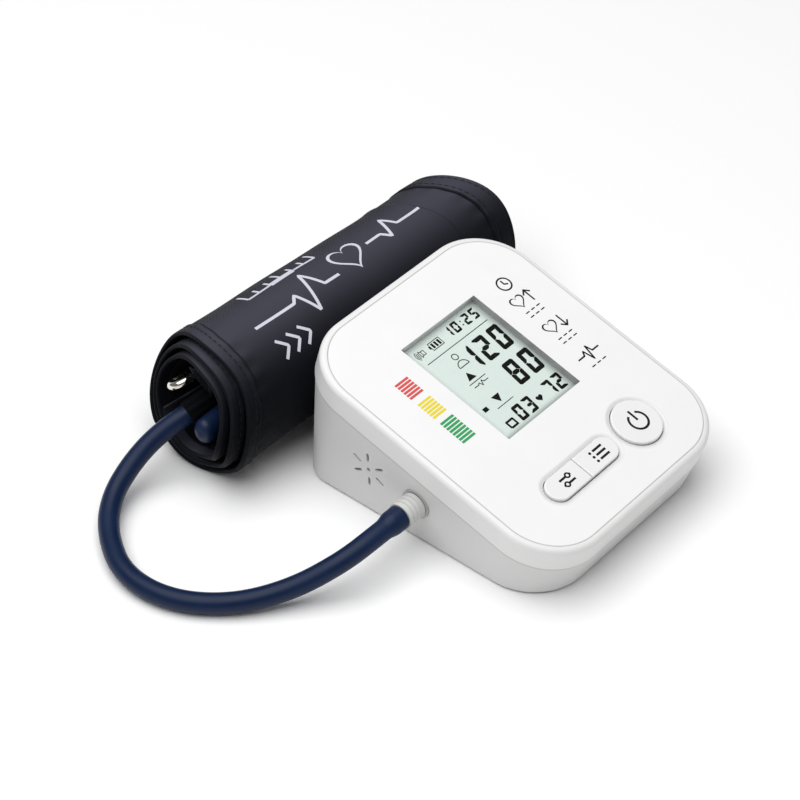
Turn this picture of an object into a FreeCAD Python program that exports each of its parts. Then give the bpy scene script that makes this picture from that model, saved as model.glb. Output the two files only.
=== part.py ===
"""Home upper-arm blood pressure monitor with its hose and rolled cuff.

The origin is at the middle of the flat ring that the monitor rests on: +X is the monitor's right, +Y its
back and +Z up. Lengths are millimetres and angles degrees. The face and all that follows it (plate, display,
board, keys) are drawn flat in the face's own frame, which one placement tilts and lifts.
"""
import FreeCAD, Part
import Sketcher
import math
import os
from FreeCAD import Placement, Rotation, Vector

doc = FreeCAD.newDocument("blood_pressure_monitor")
sheet = doc.addObject("Spreadsheet::Sheet", "Dimensions")
X_AXIS, Y_AXIS, Z_AXIS = Vector(1, 0, 0), Vector(0, 1, 0), Vector(0, 0, 1)
QUARTER = 90
FULL_TURN = 360
SAME_LEVEL = 1e-4

DIMENSIONS = {
    # general
    "overrun": 1.0, "fit_gap": 0.2, "key_gap": 0.35, "soft_gap": 0.3,
    # upper case and face
    "case_width": 108.0, "case_length": 128.0, "case_corner": 24.5, "rim_round": 2.2, "wall": 2.0,
    "face_tilt": 15.37, "face_rise": 42.0, "face_setback": 4.0, "parting_depth": 10.3, "deck": 1.8,
    "plate_width": 103.0, "plate_length": 122.1, "plate_corner": 22.0, "plate_thick": 1.5,
    "window_width": 42.2, "window_length": 53.1, "window_ahead": 12.9, "dish_reach": 1.4,
    "dish_depth": 0.4,
    # lower case
    "base_width": 102.8, "base_length": 116.0, "base_corner": 22.0, "base_round": 1.2, "floor": 2.4,
    "parting_step": 0.3, "screw_reach": 38.0, "screw_span": 88.0, "post_radius": 4.0, "boss_radius": 3.0,
    "screw_radius": 1.3, "pilot_radius": 1.4, "screw_head_radius": 2.7, "screw_head": 2.0,
    "screw_length": 8.0, "counterbore_radius": 3.1, "post_seat": 3.0, "boss_drop": 1.0, "pad_radius": 4.5,
    "pad_thick": 1.4, "pad_reach": 42.0, "pad_span": 54.0,
    # display and board
    "glass_width": 49.0, "glass_length": 60.0, "glass_thick": 2.5, "glass_drop": 0.2, "holder_wall": 2.5,
    "holder_lip": 2.2, "holder_floor": 1.2, "zebra_thick": 2.5, "board_depth": 10.0, "board_thick": 1.6,
    "board_width": 66.0, "board_length": 80.0, "board_back": 12.0, "board_screw_reach": 29.6,
    "board_screw_margin": 4.0, "board_screw_clear": 4.2, "board_boss_radius": 2.2,
    "board_pilot_radius": 0.9, "board_screw_radius": 0.8, "board_screw_head_radius": 1.8,
    "board_screw_head": 1.2, "board_screw_length": 6.0, "board_hole_radius": 1.1,
    # keys
    "key_row": 39.8, "power_key_x": 22.6, "power_key_radius": 10.0, "pair_key_x": -10.6,
    "pair_key_length": 38.0, "pair_key_radius": 5.25, "pair_split": 0.35, "key_proud": 0.9,
    "key_round": 0.5, "key_flange": 1.0, "key_flange_reach": 1.4, "key_travel": 0.8, "switch_size": 6.0,
    "switch_height": 4.0, "plunger_radius": 1.6, "plunger_depth": 0.8,
    # batteries
    "cell_radius": 5.25, "cell_length": 44.5, "cell_nib_radius": 1.9, "cell_nib": 1.0, "cell_pitch": 11.0,
    "bay_front": 2.0, "bay_length": 50.0, "bay_side": 0.4, "bay_roof": 1.5, "bay_wall": 3.6,
    "cover_ledge": 2.0, "cover_recess": 0.4, "cover_thick": 1.8, "cover_gap": 0.3, "hinge_radius": 0.9,
    "hinge_length": 9.0, "hinge_reach": 13.0, "hinge_setback": 1.6, "latch_width": 12.0,
    "latch_length": 7.0, "latch_slot": 0.8, "contact_thick": 0.6, "contact_margin": 1.0,
    "spring_radius": 3.6, "spring_tip_radius": 2.2, "cell_lift": 0.3,
    # speaker and air socket on the left side
    "speaker_y": 22.7, "speaker_z": 21.8, "speaker_radius": 12.0, "speaker_depth": 5.0,
    "magnet_radius": 6.5, "magnet_depth": 3.0, "speaker_seat": 48.0, "seat_ring": 2.4, "seat_root": 51.9,
    "grille_inner": 4.0, "grille_outer": 8.2, "grille_slot": 0.6, "grille_hole": 0.9, "socket_y": -0.3,
    "socket_z": 19.1, "socket_radius": 6.0, "socket_face": 53.6, "socket_flange_radius": 8.0,
    "socket_flange": 2.0, "socket_tail_radius": 5.0, "socket_end": 36.0, "socket_bore": 4.7,
    "socket_bore_end": 44.0, "air_bore": 1.5,
    # hose and plug
    "plug_gap": 0.4, "plug_nose_radius": 4.45, "plug_nose_end": 45.0, "plug_collar_radius": 5.25,
    "plug_collar": 8.0, "plug_rib": 1.0, "plug_groove": 0.45, "plug_barb": 7.2, "barb_radius": 2.7,
    "barb_ridge": 0.35, "seal_thick": 0.9, "seal_back": 4.0, "hose_radius": 4.0, "hose_bore": 2.25,
    "hose_swell": 0.75, "hose_sleeve": 7.6,
    # pneumatics
    "manifold_size": 8.0, "nozzle_radius": 2.2, "nozzle": 3.0, "tube_radius": 2.25, "sensor_width": 9.0,
    "sensor_depth": 8.0, "sensor_height": 7.0, "valve_radius": 5.2, "valve_length": 20.0,
    "valve_gap": 4.0, "pump_y": 41.5, "motor_radius": 10.5, "motor_length": 27.0,
    "motor_shaft_radius": 4.0, "motor_cap": 2.0, "head_size": 22.0, "head_length": 22.0,
    "head_left": 31.0, "pump_port_x": -20.0, "port_run": 6.0,
    # cuff
    "cuff_x": 2.5, "cuff_y": 86.8, "cuff_turn": -1.4, "cuff_width": 157.0, "cuff_core": 14.8,
    "cuff_pitch": 3.6, "cuff_end_angle": -20.0, "lining_thick": 0.9, "bladder_thick": 1.1,
    "cover_cloth": 1.2, "layer_gap": 0.05, "cuff_slant": 14.0, "cuff_slant_foot": 2.0,
    "cuff_core_proud": 4.0, "hem_slant": 14.0, "hem_slant_start": 15.0, "bladder_width": 110.0,
    "ring_wire": 1.5, "ring_length": 138.0, "ring_half_width": 3.6, "ring_distance": 14.2,
    "ring_angle": 57.0, "ring_inset": -2.0, "loop_length": 112.0,
    "loop_thick": 0.7, "port_radius": 4.2, "port_head_radius": 4.6, "port_head": 11.0, "port_reach": 6.1,
    "port_drop": 3.9, "port_proud": 1.0, "port_foot": 12.6, "port_foot_height": 7.0, "patch_thick": 1.0,
    "patch_width": 90.0,
}
CUFF_TURNS = 3
BLADDER_TURNS = 2
CELLS = 4
GRILLE_SLOTS = 6
PLUG_RIBS = 3
KEY_CENTRE_SHARE = 0.62
BEND_SHARE = 0.45
PATCH_SHARES = (0.5, 0.95)

# The hose's route: from the plug's collar, down to the table, round and up into the cuff's core.
HOSE_ROUTE = [
    (-62.0, -0.3, 19.1), (-76.0, -0.3, 19.1), (-89.5, 3.2, 14.6), (-106.0, 12.8, 7.2),
    (-123.5, 26.2, 4.05), (-136.0, 44.5, 4.05), (-137.4, 66.2, 4.05), (-126.6, 85.0, 4.6),
    (-114.0, 95.6, 6.8), (-100.2, 99.2, 11.4), (-87.0, 98.0, 18.0), (-73.5, 92.4, 24.5),
    (-60.0, 90.0, 27.0), (-48.0, 90.0, 27.0),
]


class Size:
    """A number that keeps the spreadsheet expression it was worked out with."""

    def __init__(self, value, text):
        self.value = value
        self.text = text

    def joined(self, other, sign, value):
        return Size(value, f"({self.text} {sign} {other.text})")

    def __add__(self, other):
        other = as_size(other)
        return self.joined(other, "+", self.value + other.value)

    def __sub__(self, other):
        other = as_size(other)
        return self.joined(other, "-", self.value - other.value)

    def __mul__(self, other):
        other = as_size(other)
        return self.joined(other, "*", self.value * other.value)

    def __truediv__(self, other):
        other = as_size(other)
        return self.joined(other, "/", self.value / other.value)

    def __neg__(self):
        return Size(-self.value, f"(-{self.text})")


def as_size(number):
    """A plain count or share as a Size."""
    if isinstance(number, Size):
        return number
    return Size(float(number), f"({number})")


class Dimensions:
    """The sheet's cells as attributes, each one a Size."""

    def __init__(self, table):
        for row, (name, value) in enumerate(table.items(), start=1):
            sheet.set(f"A{row}", name)
            sheet.set(f"B{row}", str(value))
            sheet.setAlias(f"B{row}", name)
            setattr(self, name, Size(value, f"Dimensions.{name}"))


ZERO = Size(0.0, "0")
size = Dimensions(DIMENSIONS)
doc.recompute()


def sine(angle):
    return Size(math.sin(math.radians(angle.value)), f"sin({angle.text} * 1 deg)")


def cosine(angle):
    return Size(math.cos(math.radians(angle.value)), f"cos({angle.text} * 1 deg)")


def bind(owner, path, amount):
    """Drive one property of an object by the sheet."""
    owner.setExpression(path, amount.text)


def seat(owner, x=ZERO, y=ZERO, z=ZERO, turn=ZERO, axis=X_AXIS, path="Placement"):
    """Put an object or a sketch at x, y, z, turned about one axis."""
    setattr(owner, path, Placement(Vector(x.value, y.value, z.value), Rotation(axis, turn.value)))
    for name, amount in (("x", x), ("y", y), ("z", z)):
        if amount is not ZERO:
            bind(owner, f"{path}.Base.{name}", amount)
    if turn is not ZERO:
        bind(owner, f"{path}.Rotation.Angle", turn)


def face_to_part(v, depth):
    """The part's y and z of a point of the face's frame, v up the slope and depth below the face."""
    y = v * cosine(size.face_tilt) + depth * sine(size.face_tilt) - size.face_setback
    z = size.face_rise + v * sine(size.face_tilt) - depth * cosine(size.face_tilt)
    return y, z


def slope_at(y, depth):
    """Height of the plane that lies depth below the face, at the part's y."""
    tangent = sine(size.face_tilt) / cosine(size.face_tilt)
    return size.face_rise - depth / cosine(size.face_tilt) + (y + size.face_setback) * tangent


# Bodies, sketches and features

nodes = {}


def new_body(label, on_face=False):
    body = doc.addObject("PartDesign::Body", label)
    body.Label = label
    nodes[label] = body
    if on_face:
        seat(body, y=-size.face_setback, z=size.face_rise, turn=size.face_tilt)
    return body


def new_sketch(body, plane="XY_Plane", **place):
    sketch = body.newObject("Sketcher::SketchObject", f"{body.Label}_sketch")
    origin = [feature for feature in body.Origin.OriginFeatures if feature.Role == plane]
    sketch.AttachmentSupport = [(origin[0], "")]
    sketch.MapMode = "FlatFace"
    seat(sketch, path="AttachmentOffset", **place)
    return sketch


def constrain(sketch, amount, *terms):
    """Add a measured constraint and drive it by the sheet."""
    index = sketch.addConstraint(Sketcher.Constraint(*terms, amount.value))
    bind(sketch, f"Constraints[{index}]", amount)


def pin(sketch, curve, point, x, y):
    """Hold one point of a curve at x, y of the sketch."""
    for kind, amount, axis in (("DistanceX", x, -2), ("DistanceY", y, -1)):
        if amount is ZERO:
            sketch.addConstraint(Sketcher.Constraint("PointOnObject", curve, point, axis))
        else:
            constrain(sketch, amount, kind, -1, 1, curve, point)


def circle(sketch, radius, x=ZERO, y=ZERO):
    centre = Vector(x.value, y.value, 0)
    curve = sketch.addGeometry(Part.Circle(centre, Z_AXIS, radius.value), False)
    constrain(sketch, radius, "Radius", curve)
    pin(sketch, curve, 3, x, y)


def polygon(sketch, points):
    """A closed outline of straight edges through points."""
    spots = [Vector(x.value, y.value, 0) for x, y in points]
    edges = []
    for start, end in zip(spots, spots[1:] + spots[:1]):
        edges.append(sketch.addGeometry(Part.LineSegment(start, end), False))
    for edge, after, (x, y) in zip(edges, edges[1:] + edges[:1], points):
        sketch.addConstraint(Sketcher.Constraint("Coincident", edge, 2, after, 1))
        pin(sketch, edge, 1, x, y)


def rectangle(sketch, width, length, x=ZERO, y=ZERO):
    left, right = x - width / 2, x + width / 2
    front, back = y - length / 2, y + length / 2
    polygon(sketch, [(left, front), (right, front), (right, back), (left, back)])


def rounded(sketch, width, length, corner, x=ZERO, y=ZERO):
    """A rectangle with round corners: four sides and four tangent arcs."""
    across, along = width / 2 - corner, length / 2 - corner
    left, right, front, back = x - across, x + across, y - along, y + along
    centres = [(right, front), (right, back), (left, back), (left, front)]
    arcs = []
    for turn, (cx, cy) in enumerate(centres):
        base = Part.Circle(Vector(cx.value, cy.value, 0), Z_AXIS, corner.value)
        start = math.radians(QUARTER * (turn - 1))
        arc = Part.ArcOfCircle(base, start, start + math.pi / 2)
        arcs.append(sketch.addGeometry(arc, False))
    for turn, (arc, (cx, cy)) in enumerate(zip(arcs, centres)):
        after = arcs[(turn + 1) % 4]
        start, end = sketch.getPoint(arc, 2), sketch.getPoint(after, 1)
        side = sketch.addGeometry(Part.LineSegment(start, end), False)
        sketch.addConstraint(Sketcher.Constraint("Tangent", arc, 2, side, 1))
        sketch.addConstraint(Sketcher.Constraint("Tangent", side, 2, after, 1))
        pin(sketch, arc, 3, cx, cy)
    constrain(sketch, corner, "Radius", arcs[0])


def stadium(sketch, length, radius, x=ZERO, y=ZERO):
    """A slot along X: two half circles and two sides."""
    reach = length / 2 - radius
    spots = [(x + reach, -math.pi / 2), (x - reach, math.pi / 2)]
    arcs = []
    for cx, start in spots:
        base = Part.Circle(Vector(cx.value, y.value, 0), Z_AXIS, radius.value)
        arcs.append(sketch.addGeometry(Part.ArcOfCircle(base, start, start + math.pi), False))
    for arc, after, (cx, start) in zip(arcs, arcs[::-1], spots):
        side = sketch.addGeometry(Part.LineSegment(sketch.getPoint(arc, 2), sketch.getPoint(after, 1)), False)
        sketch.addConstraint(Sketcher.Constraint("Tangent", arc, 2, side, 1))
        sketch.addConstraint(Sketcher.Constraint("Tangent", side, 2, after, 1))
        pin(sketch, arc, 3, cx, y)
    constrain(sketch, radius, "Radius", arcs[0])


def extrude(body, kind, sketch, length, reverse=False):
    """A Pad along the sketch's normal, or a Pocket against it; reverse turns either about."""
    feature = body.newObject(f"PartDesign::{kind}", f"{body.Label}_{kind.lower()}")
    feature.Profile = sketch
    feature.Reversed = reverse
    bind(feature, "Length", length)
    sketch.Visibility = False
    return feature


def pad(body, sketch, length, reverse=False):
    return extrude(body, "Pad", sketch, length, reverse)


def pocket(body, sketch, length, reverse=False):
    return extrude(body, "Pocket", sketch, length, reverse)


def revolve(body, sketch, axis):
    feature = body.newObject("PartDesign::Revolution", f"{body.Label}_revolution")
    feature.Profile = sketch
    feature.ReferenceAxis = (sketch, [axis])
    feature.Angle = FULL_TURN
    return feature


def loft(body, kind, sketches):
    feature = body.newObject(f"PartDesign::{kind}", f"{body.Label}_loft")
    feature.Profile = sketches[0]
    feature.Sections = sketches[1:]
    feature.Ruled = True
    return feature


def round_edges(body, radius, chosen):
    """Fillet the edges of the body's tip that chosen(edge) picks."""
    doc.recompute()
    base = body.Tip
    names = [f"Edge{n}" for n, edge in enumerate(base.Shape.Edges, start=1) if chosen(edge)]
    feature = body.newObject("PartDesign::Fillet", f"{body.Label}_fillet")
    feature.Base = (base, names)
    bind(feature, "Radius", radius)
    return feature


def edges_at(level):
    """Picks the edges that lie wholly at one height of the body's frame."""
    def chosen(edge):
        box = edge.BoundBox
        return max(abs(box.ZMin - level.value), abs(box.ZMax - level.value)) < SAME_LEVEL
    return chosen


# Part primitives and their combinations


def cylinder(name, radius, length, x=ZERO, y=ZERO, z=ZERO, turn=ZERO, axis=Y_AXIS):
    solid = doc.addObject("Part::Cylinder", name)
    bind(solid, "Radius", radius)
    bind(solid, "Height", length)
    seat(solid, x, y, z, turn, axis)
    return solid


def block(name, width, length, height, x=ZERO, y=ZERO, z=ZERO):
    """A box centred on x and y, standing on z."""
    solid = doc.addObject("Part::Box", name)
    bind(solid, "Width", length)
    bind(solid, "Length", width)
    bind(solid, "Height", height)
    seat(solid, x - width / 2, y - length / 2, z)
    return solid


def joined(label, kind, shapes, node=True):
    """A fusion or a compound of several solids."""
    whole = doc.addObject(f"Part::{kind}", label)
    whole.Label = label
    if kind == "Compound":
        whole.Links = shapes
    else:
        whole.Shapes = shapes
    if node:
        nodes[label] = whole
    return whole


def cut(label, base, tool, node=True):
    whole = doc.addObject("Part::Cut", label)
    whole.Label = label
    whole.Base = base
    whole.Tool = tool
    if node:
        nodes[label] = whole
    return whole


def tilt_with_face(solid):
    seat(solid, y=-size.face_setback, z=size.face_rise, turn=size.face_tilt)


def free_shape(label, shape, place=None):
    """A node whose shape is worked out from the sheet's values."""
    whole = doc.addObject("Part::Feature", label)
    whole.Label = label
    whole.Shape = shape
    if place is not None:
        whole.Placement = place
    nodes[label] = whole
    return whole


RIGHT_ANGLE = as_size(QUARTER)
BACK_ANGLE = -RIGHT_ANGLE

# Levels below the face, shared by the pieces that stack there
deck_under = size.plate_thick + size.deck
glass_top = deck_under + size.glass_drop
glass_under = glass_top + size.glass_thick
holder_under = glass_under + size.holder_floor
board_under = size.board_depth + size.board_thick
flange_top = deck_under + size.fit_gap
flange_under = flange_top + size.key_flange
switch_top = size.board_depth - size.switch_height
board_middle = -size.board_back

pair_reach = size.pair_key_length / 2 - size.pair_key_radius
KEY_SPOTS = {
    "power": size.power_key_x,
    "set": size.pair_key_x - pair_reach * KEY_CENTRE_SHARE,
    "memory": size.pair_key_x + pair_reach * KEY_CENTRE_SHARE,
}


def power_outline(sketch, grow=ZERO):
    """The round key's outline, grown outwards."""
    circle(sketch, size.power_key_radius + grow, size.power_key_x, -size.key_row)


def pair_outline(sketch, grow=ZERO):
    """The outline that the pair of keys shares, grown outwards."""
    stadium(sketch, size.pair_key_length + grow * 2, size.pair_key_radius + grow,
            size.pair_key_x, -size.key_row)


def post_rows():
    """y and top height of the two rows of posts of the lower case, where the upper case's bosses stand."""
    rows = (-size.screw_span / 2, size.screw_span / 2)
    return [(y, slope_at(y, size.parting_depth) + size.boss_drop) for y in rows]


def screw_posts():
    """x, y and top height of the four posts."""
    return [(x, y, top) for y, top in post_rows() for x in (-size.screw_reach, size.screw_reach)]


def make_upper_case():
    body = new_body("upper_case", on_face=True)
    outer = new_sketch(body, z=-size.parting_depth)
    rounded(outer, size.case_width, size.case_length, size.case_corner)
    pad(body, outer, size.parting_depth)
    seat_outline = new_sketch(body)
    rounded(seat_outline, size.plate_width + size.fit_gap, size.plate_length + size.fit_gap,
            size.plate_corner + size.fit_gap / 2)
    pocket(body, seat_outline, size.plate_thick)
    hollow = new_sketch(body, z=-size.parting_depth)
    walls = size.wall * 2
    rounded(hollow, size.case_width - walls, size.case_length - walls, size.case_corner - size.wall)
    pocket(body, hollow, size.parting_depth - deck_under, reverse=True)
    for y, height in post_rows():
        add_boss_pair(body, y, height)
    board_bosses = new_sketch(body, z=-size.board_depth)
    board_pilots = new_sketch(body, z=-size.board_depth)
    for x, v in board_screw_spots():
        circle(board_bosses, size.board_boss_radius, x, v)
        circle(board_pilots, size.board_pilot_radius, x, v)
    pad(body, board_bosses, size.board_depth - deck_under)
    pocket(body, board_pilots, size.board_screw_length, reverse=True)
    openings = new_sketch(body, z=-size.plate_thick)
    rectangle(openings, size.window_width, size.window_length, y=size.window_ahead)
    power_outline(openings, size.key_gap)
    pair_outline(openings, size.key_gap)
    pocket(body, openings, size.deck)
    round_edges(body, size.rim_round, rim_of_case)


def rim_of_case(edge):
    """Picks the outer outline of the face's rim, and leaves that of the plate's seat."""
    middle = edge.valueAt((edge.FirstParameter + edge.LastParameter) / 2)
    across = abs(middle.x) > (size.plate_width / 2 + size.fit_gap).value
    along = abs(middle.y) > (size.plate_length / 2 + size.fit_gap).value
    between = (size.plate_corner + size.case_corner).value / 2
    corner = edge.Curve.TypeId == "Part::GeomCircle" and edge.Curve.Radius > between
    return edges_at(ZERO)(edge) and (across or along or corner)


def add_boss_pair(body, y, height):
    """Two upright screw bosses under the deck, drawn on a plane that is level in the part's frame."""
    middle = slope_at(y, size.plate_thick + size.deck / 2)
    across = y + size.face_setback
    up = height - size.face_rise
    v = across * cosine(size.face_tilt) + up * sine(size.face_tilt)
    w = up * cosine(size.face_tilt) - across * sine(size.face_tilt)
    bosses = new_sketch(body, y=v, z=w, turn=-size.face_tilt)
    pilots = new_sketch(body, y=v, z=w, turn=-size.face_tilt)
    for x in (-size.screw_reach, size.screw_reach):
        circle(bosses, size.boss_radius, x)
        circle(pilots, size.pilot_radius, x)
    pad(body, bosses, middle - height)
    pocket(body, pilots, middle - height - size.deck, reverse=True)


def board_screw_spots():
    """Two screws just behind the power key's flange and two at the board's back edge."""
    flange_edge = size.power_key_radius + size.key_flange_reach - size.key_row
    front = flange_edge + size.board_boss_radius + size.board_screw_clear
    back = board_middle + size.board_length / 2 - size.board_screw_margin
    return [(x, v) for x in (-size.board_screw_reach, size.board_screw_reach) for v in (front, back)]


def make_face_plate():
    body = new_body("face_plate", on_face=True)
    outline = new_sketch(body)
    rounded(outline, size.plate_width, size.plate_length, size.plate_corner)
    rectangle(outline, size.window_width, size.window_length, y=size.window_ahead)
    power_outline(outline, size.key_gap)
    pair_outline(outline, size.key_gap)
    pad(body, outline, size.plate_thick, reverse=True)
    for draw in (power_outline, pair_outline):
        brim = new_sketch(body)
        draw(brim, size.key_gap + size.dish_reach)
        bottom = new_sketch(body, z=-size.dish_depth)
        draw(bottom, size.key_gap)
        loft(body, "SubtractiveLoft", [brim, bottom])


def make_display():
    """The clear window, the LCD glass, the holder that hangs it under the deck, and the zebra strip."""
    window = new_body("lcd_window", on_face=True)
    pane = new_sketch(window)
    rectangle(pane, size.window_width - size.fit_gap, size.window_length - size.fit_gap, y=size.window_ahead)
    pad(window, pane, deck_under, reverse=True)
    glass = new_body("lcd_glass", on_face=True)
    sheet_outline = new_sketch(glass, z=-glass_top)
    rectangle(sheet_outline, size.glass_width, size.glass_length, y=size.window_ahead)
    pad(glass, sheet_outline, size.glass_thick, reverse=True)
    holder = new_body("lcd_holder", on_face=True)
    outer = new_sketch(holder, z=-deck_under)
    wall = (size.holder_wall + size.fit_gap) * 2
    rectangle(outer, size.glass_width + wall, size.glass_length + wall, y=size.window_ahead)
    pad(holder, outer, holder_under - deck_under, reverse=True)
    well = new_sketch(holder, z=-deck_under)
    play = size.fit_gap * 2
    rectangle(well, size.glass_width + play, size.glass_length + play, y=size.window_ahead)
    pocket(holder, well, glass_under - deck_under)
    light = new_sketch(holder, z=-deck_under)
    lip = size.holder_lip * 2
    rectangle(light, size.glass_width - lip, size.glass_length - lip, y=size.window_ahead)
    pocket(holder, light, holder_under - deck_under + size.overrun)
    zebra = new_body("zebra_strip", on_face=True)
    strip = new_sketch(zebra, z=-size.board_depth)
    front = size.window_ahead - size.glass_length / 2 + size.holder_lip + size.fit_gap + size.zebra_thick / 2
    rectangle(strip, size.glass_width - lip - play, size.zebra_thick, y=front)
    pad(zebra, strip, size.board_depth - glass_under)


def make_board():
    board = new_body("main_board", on_face=True)
    outline = new_sketch(board, z=-size.board_depth)
    rectangle(outline, size.board_width, size.board_length, y=board_middle)
    for x, v in board_screw_spots():
        circle(outline, size.board_hole_radius, x, v)
    pad(board, outline, size.board_thick, reverse=True)
    screws = []
    for n, (x, v) in enumerate(board_screw_spots()):
        head = cylinder(f"board_screw_head_{n}", size.board_screw_head_radius, size.board_screw_head,
                        x, v, -(board_under + size.board_screw_head))
        shank = cylinder(f"board_screw_shank_{n}", size.board_screw_radius, size.board_screw_length,
                         x, v, -board_under)
        screws.append(joined(f"board_screw_{n}", "MultiFuse", [head, shank], node=False))
    tilt_with_face(joined("board_screws", "Compound", screws))
    switches = []
    bore_depth = size.plunger_depth + size.key_travel + size.fit_gap * 2
    for name, x in KEY_SPOTS.items():
        housing = block(f"{name}_switch_block", size.switch_size, size.switch_size, size.switch_height,
                        x, -size.key_row, -size.board_depth)
        bore = cylinder(f"{name}_switch_bore", size.plunger_radius + size.fit_gap, bore_depth,
                        x, -size.key_row, -(switch_top + bore_depth))
        switches.append(cut(f"{name}_switch", housing, bore, node=False))
    tilt_with_face(joined("tact_switches", "Compound", switches))


def make_keys():
    """Three keys with a flange under the deck, each resting on the plunger of its switch."""
    stem = flange_top + size.key_proud
    power = new_body("power_key", on_face=True)
    cap = new_sketch(power, z=-flange_top)
    power_outline(cap)
    pad(power, cap, stem)
    flange = new_sketch(power, z=-flange_top)
    power_outline(flange, size.key_flange_reach)
    pad(power, flange, size.key_flange, reverse=True)
    round_edges(power, size.key_round, edges_at(size.key_proud))
    for name, side in (("set", as_size(-1)), ("memory", as_size(1))):
        make_half_key(name, side, stem)
    for name, x in KEY_SPOTS.items():
        plunger = cylinder(f"{name}_plunger", size.plunger_radius,
                           switch_top - flange_under + size.plunger_depth,
                           x, -size.key_row, -(switch_top + size.plunger_depth))
        tilt_with_face(joined(f"{name}_switch_plunger", "Compound", [plunger]))


def make_half_key(name, side, stem):
    """One half of the pair of keys: a stadium that is cut off at the split."""
    key = new_body(f"{name}_key", on_face=True)
    cap = new_sketch(key, z=-flange_top)
    pair_outline(cap)
    pad(key, cap, stem)
    flange = new_sketch(key, z=-flange_top)
    pair_outline(flange, size.key_flange_reach)
    pad(key, flange, size.key_flange, reverse=True)
    other_half = new_sketch(key, z=size.key_proud + size.overrun)
    spread = size.pair_key_length
    rectangle(other_half, spread, spread, size.pair_key_x - side * (spread / 2 - size.pair_split / 2),
              -size.key_row)
    pocket(key, other_half, stem + size.key_flange + size.overrun * 2)
    round_edges(key, size.key_round, edges_at(size.key_proud))


# Heights and places of the battery bay
cover_top = size.cover_recess + size.cover_thick
cell_height = cover_top + size.cell_lift + size.cell_radius
bay_ceiling = cell_height + size.cell_radius + size.cell_lift
bay_top = bay_ceiling + size.bay_roof
bay_width = size.cell_pitch * CELLS + size.bay_side * 2
bay_middle = size.bay_front + size.bay_length / 2
opening_front = size.bay_front - size.cover_ledge
cover_front = opening_front + size.hinge_setback - size.cover_gap * 2
hinge_y = cover_front - size.hinge_setback
hinge_z = size.cover_recess + size.hinge_radius


def make_lower_case():
    body = new_body("lower_case")
    bevel = size.base_round * 2
    foot = new_sketch(body)
    rounded(foot, size.base_width - bevel, size.base_length - bevel, size.base_corner - size.base_round)
    sole = new_sketch(body, z=size.base_round)
    rounded(sole, size.base_width, size.base_length, size.base_corner)
    y, z = face_to_part(ZERO, size.parting_depth)
    brim = new_sketch(body, y=y, z=z, turn=size.face_tilt)
    step = size.parting_step * 2
    rounded(brim, size.case_width - step, size.case_length - step, size.case_corner - size.parting_step)
    loft(body, "AdditiveLoft", [foot, sole, brim])
    cavity_floor = new_sketch(body, z=size.floor)
    walls = size.wall * 2
    rounded(cavity_floor, size.base_width - walls, size.base_length - walls, size.base_corner - size.wall)
    y, z = face_to_part(ZERO, size.parting_depth - size.overrun)
    mouth = new_sketch(body, y=y, z=z, turn=size.face_tilt)
    rounded(mouth, size.case_width - step - walls, size.case_length - step - walls,
            size.case_corner - size.parting_step - size.wall)
    loft(body, "SubtractiveLoft", [cavity_floor, mouth])
    add_posts(body)
    add_battery_bay(body)
    add_left_side(body)
    recess = new_sketch(body)
    for x, y in pad_spots():
        circle(recess, size.pad_radius + size.fit_gap / 2, x, y)
    pocket(body, recess, size.pad_thick, reverse=True)


def pad_spots():
    rows = (-size.pad_span / 2, size.pad_span / 2)
    return [(x, y) for x in (-size.pad_reach, size.pad_reach) for y in rows]


def add_posts(body):
    """Screw posts on the floor, with a counterbore from below and a clear hole through the seat."""
    for x, y, top in screw_posts():
        post = new_sketch(body, z=size.floor / 2)
        circle(post, size.post_radius, x, y)
        pad(body, post, top - size.floor / 2)
        counterbore = new_sketch(body)
        circle(counterbore, size.counterbore_radius, x, y)
        pocket(body, counterbore, top - size.post_seat, reverse=True)
        clear = new_sketch(body)
        circle(clear, size.screw_radius + size.fit_gap, x, y)
        pocket(body, clear, top + size.overrun, reverse=True)


def add_battery_bay(body):
    """A closed bay over the cells, the ledge that the cover lies against and the slots of its hinge."""
    outer = new_sketch(body)
    rim = size.bay_wall * 2
    rectangle(outer, bay_width + rim, size.bay_length + rim, y=bay_middle)
    pad(body, outer, bay_top)
    ledge = size.cover_ledge * 2
    opening = new_sketch(body)
    rectangle(opening, bay_width + ledge, size.bay_length + ledge, y=bay_middle)
    pocket(body, opening, cover_top, reverse=True)
    bay = new_sketch(body)
    rectangle(bay, bay_width, size.bay_length, y=bay_middle)
    pocket(body, bay, bay_ceiling, reverse=True)
    slots = new_sketch(body)
    reach = size.hinge_radius + size.cover_gap
    depth = opening_front - hinge_y + reach + size.overrun
    for x in (-size.hinge_reach, size.hinge_reach):
        rectangle(slots, size.hinge_length + size.cover_gap * 2, depth, x, hinge_y - reach + depth / 2)
    pocket(body, slots, hinge_z + reach, reverse=True)


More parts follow.
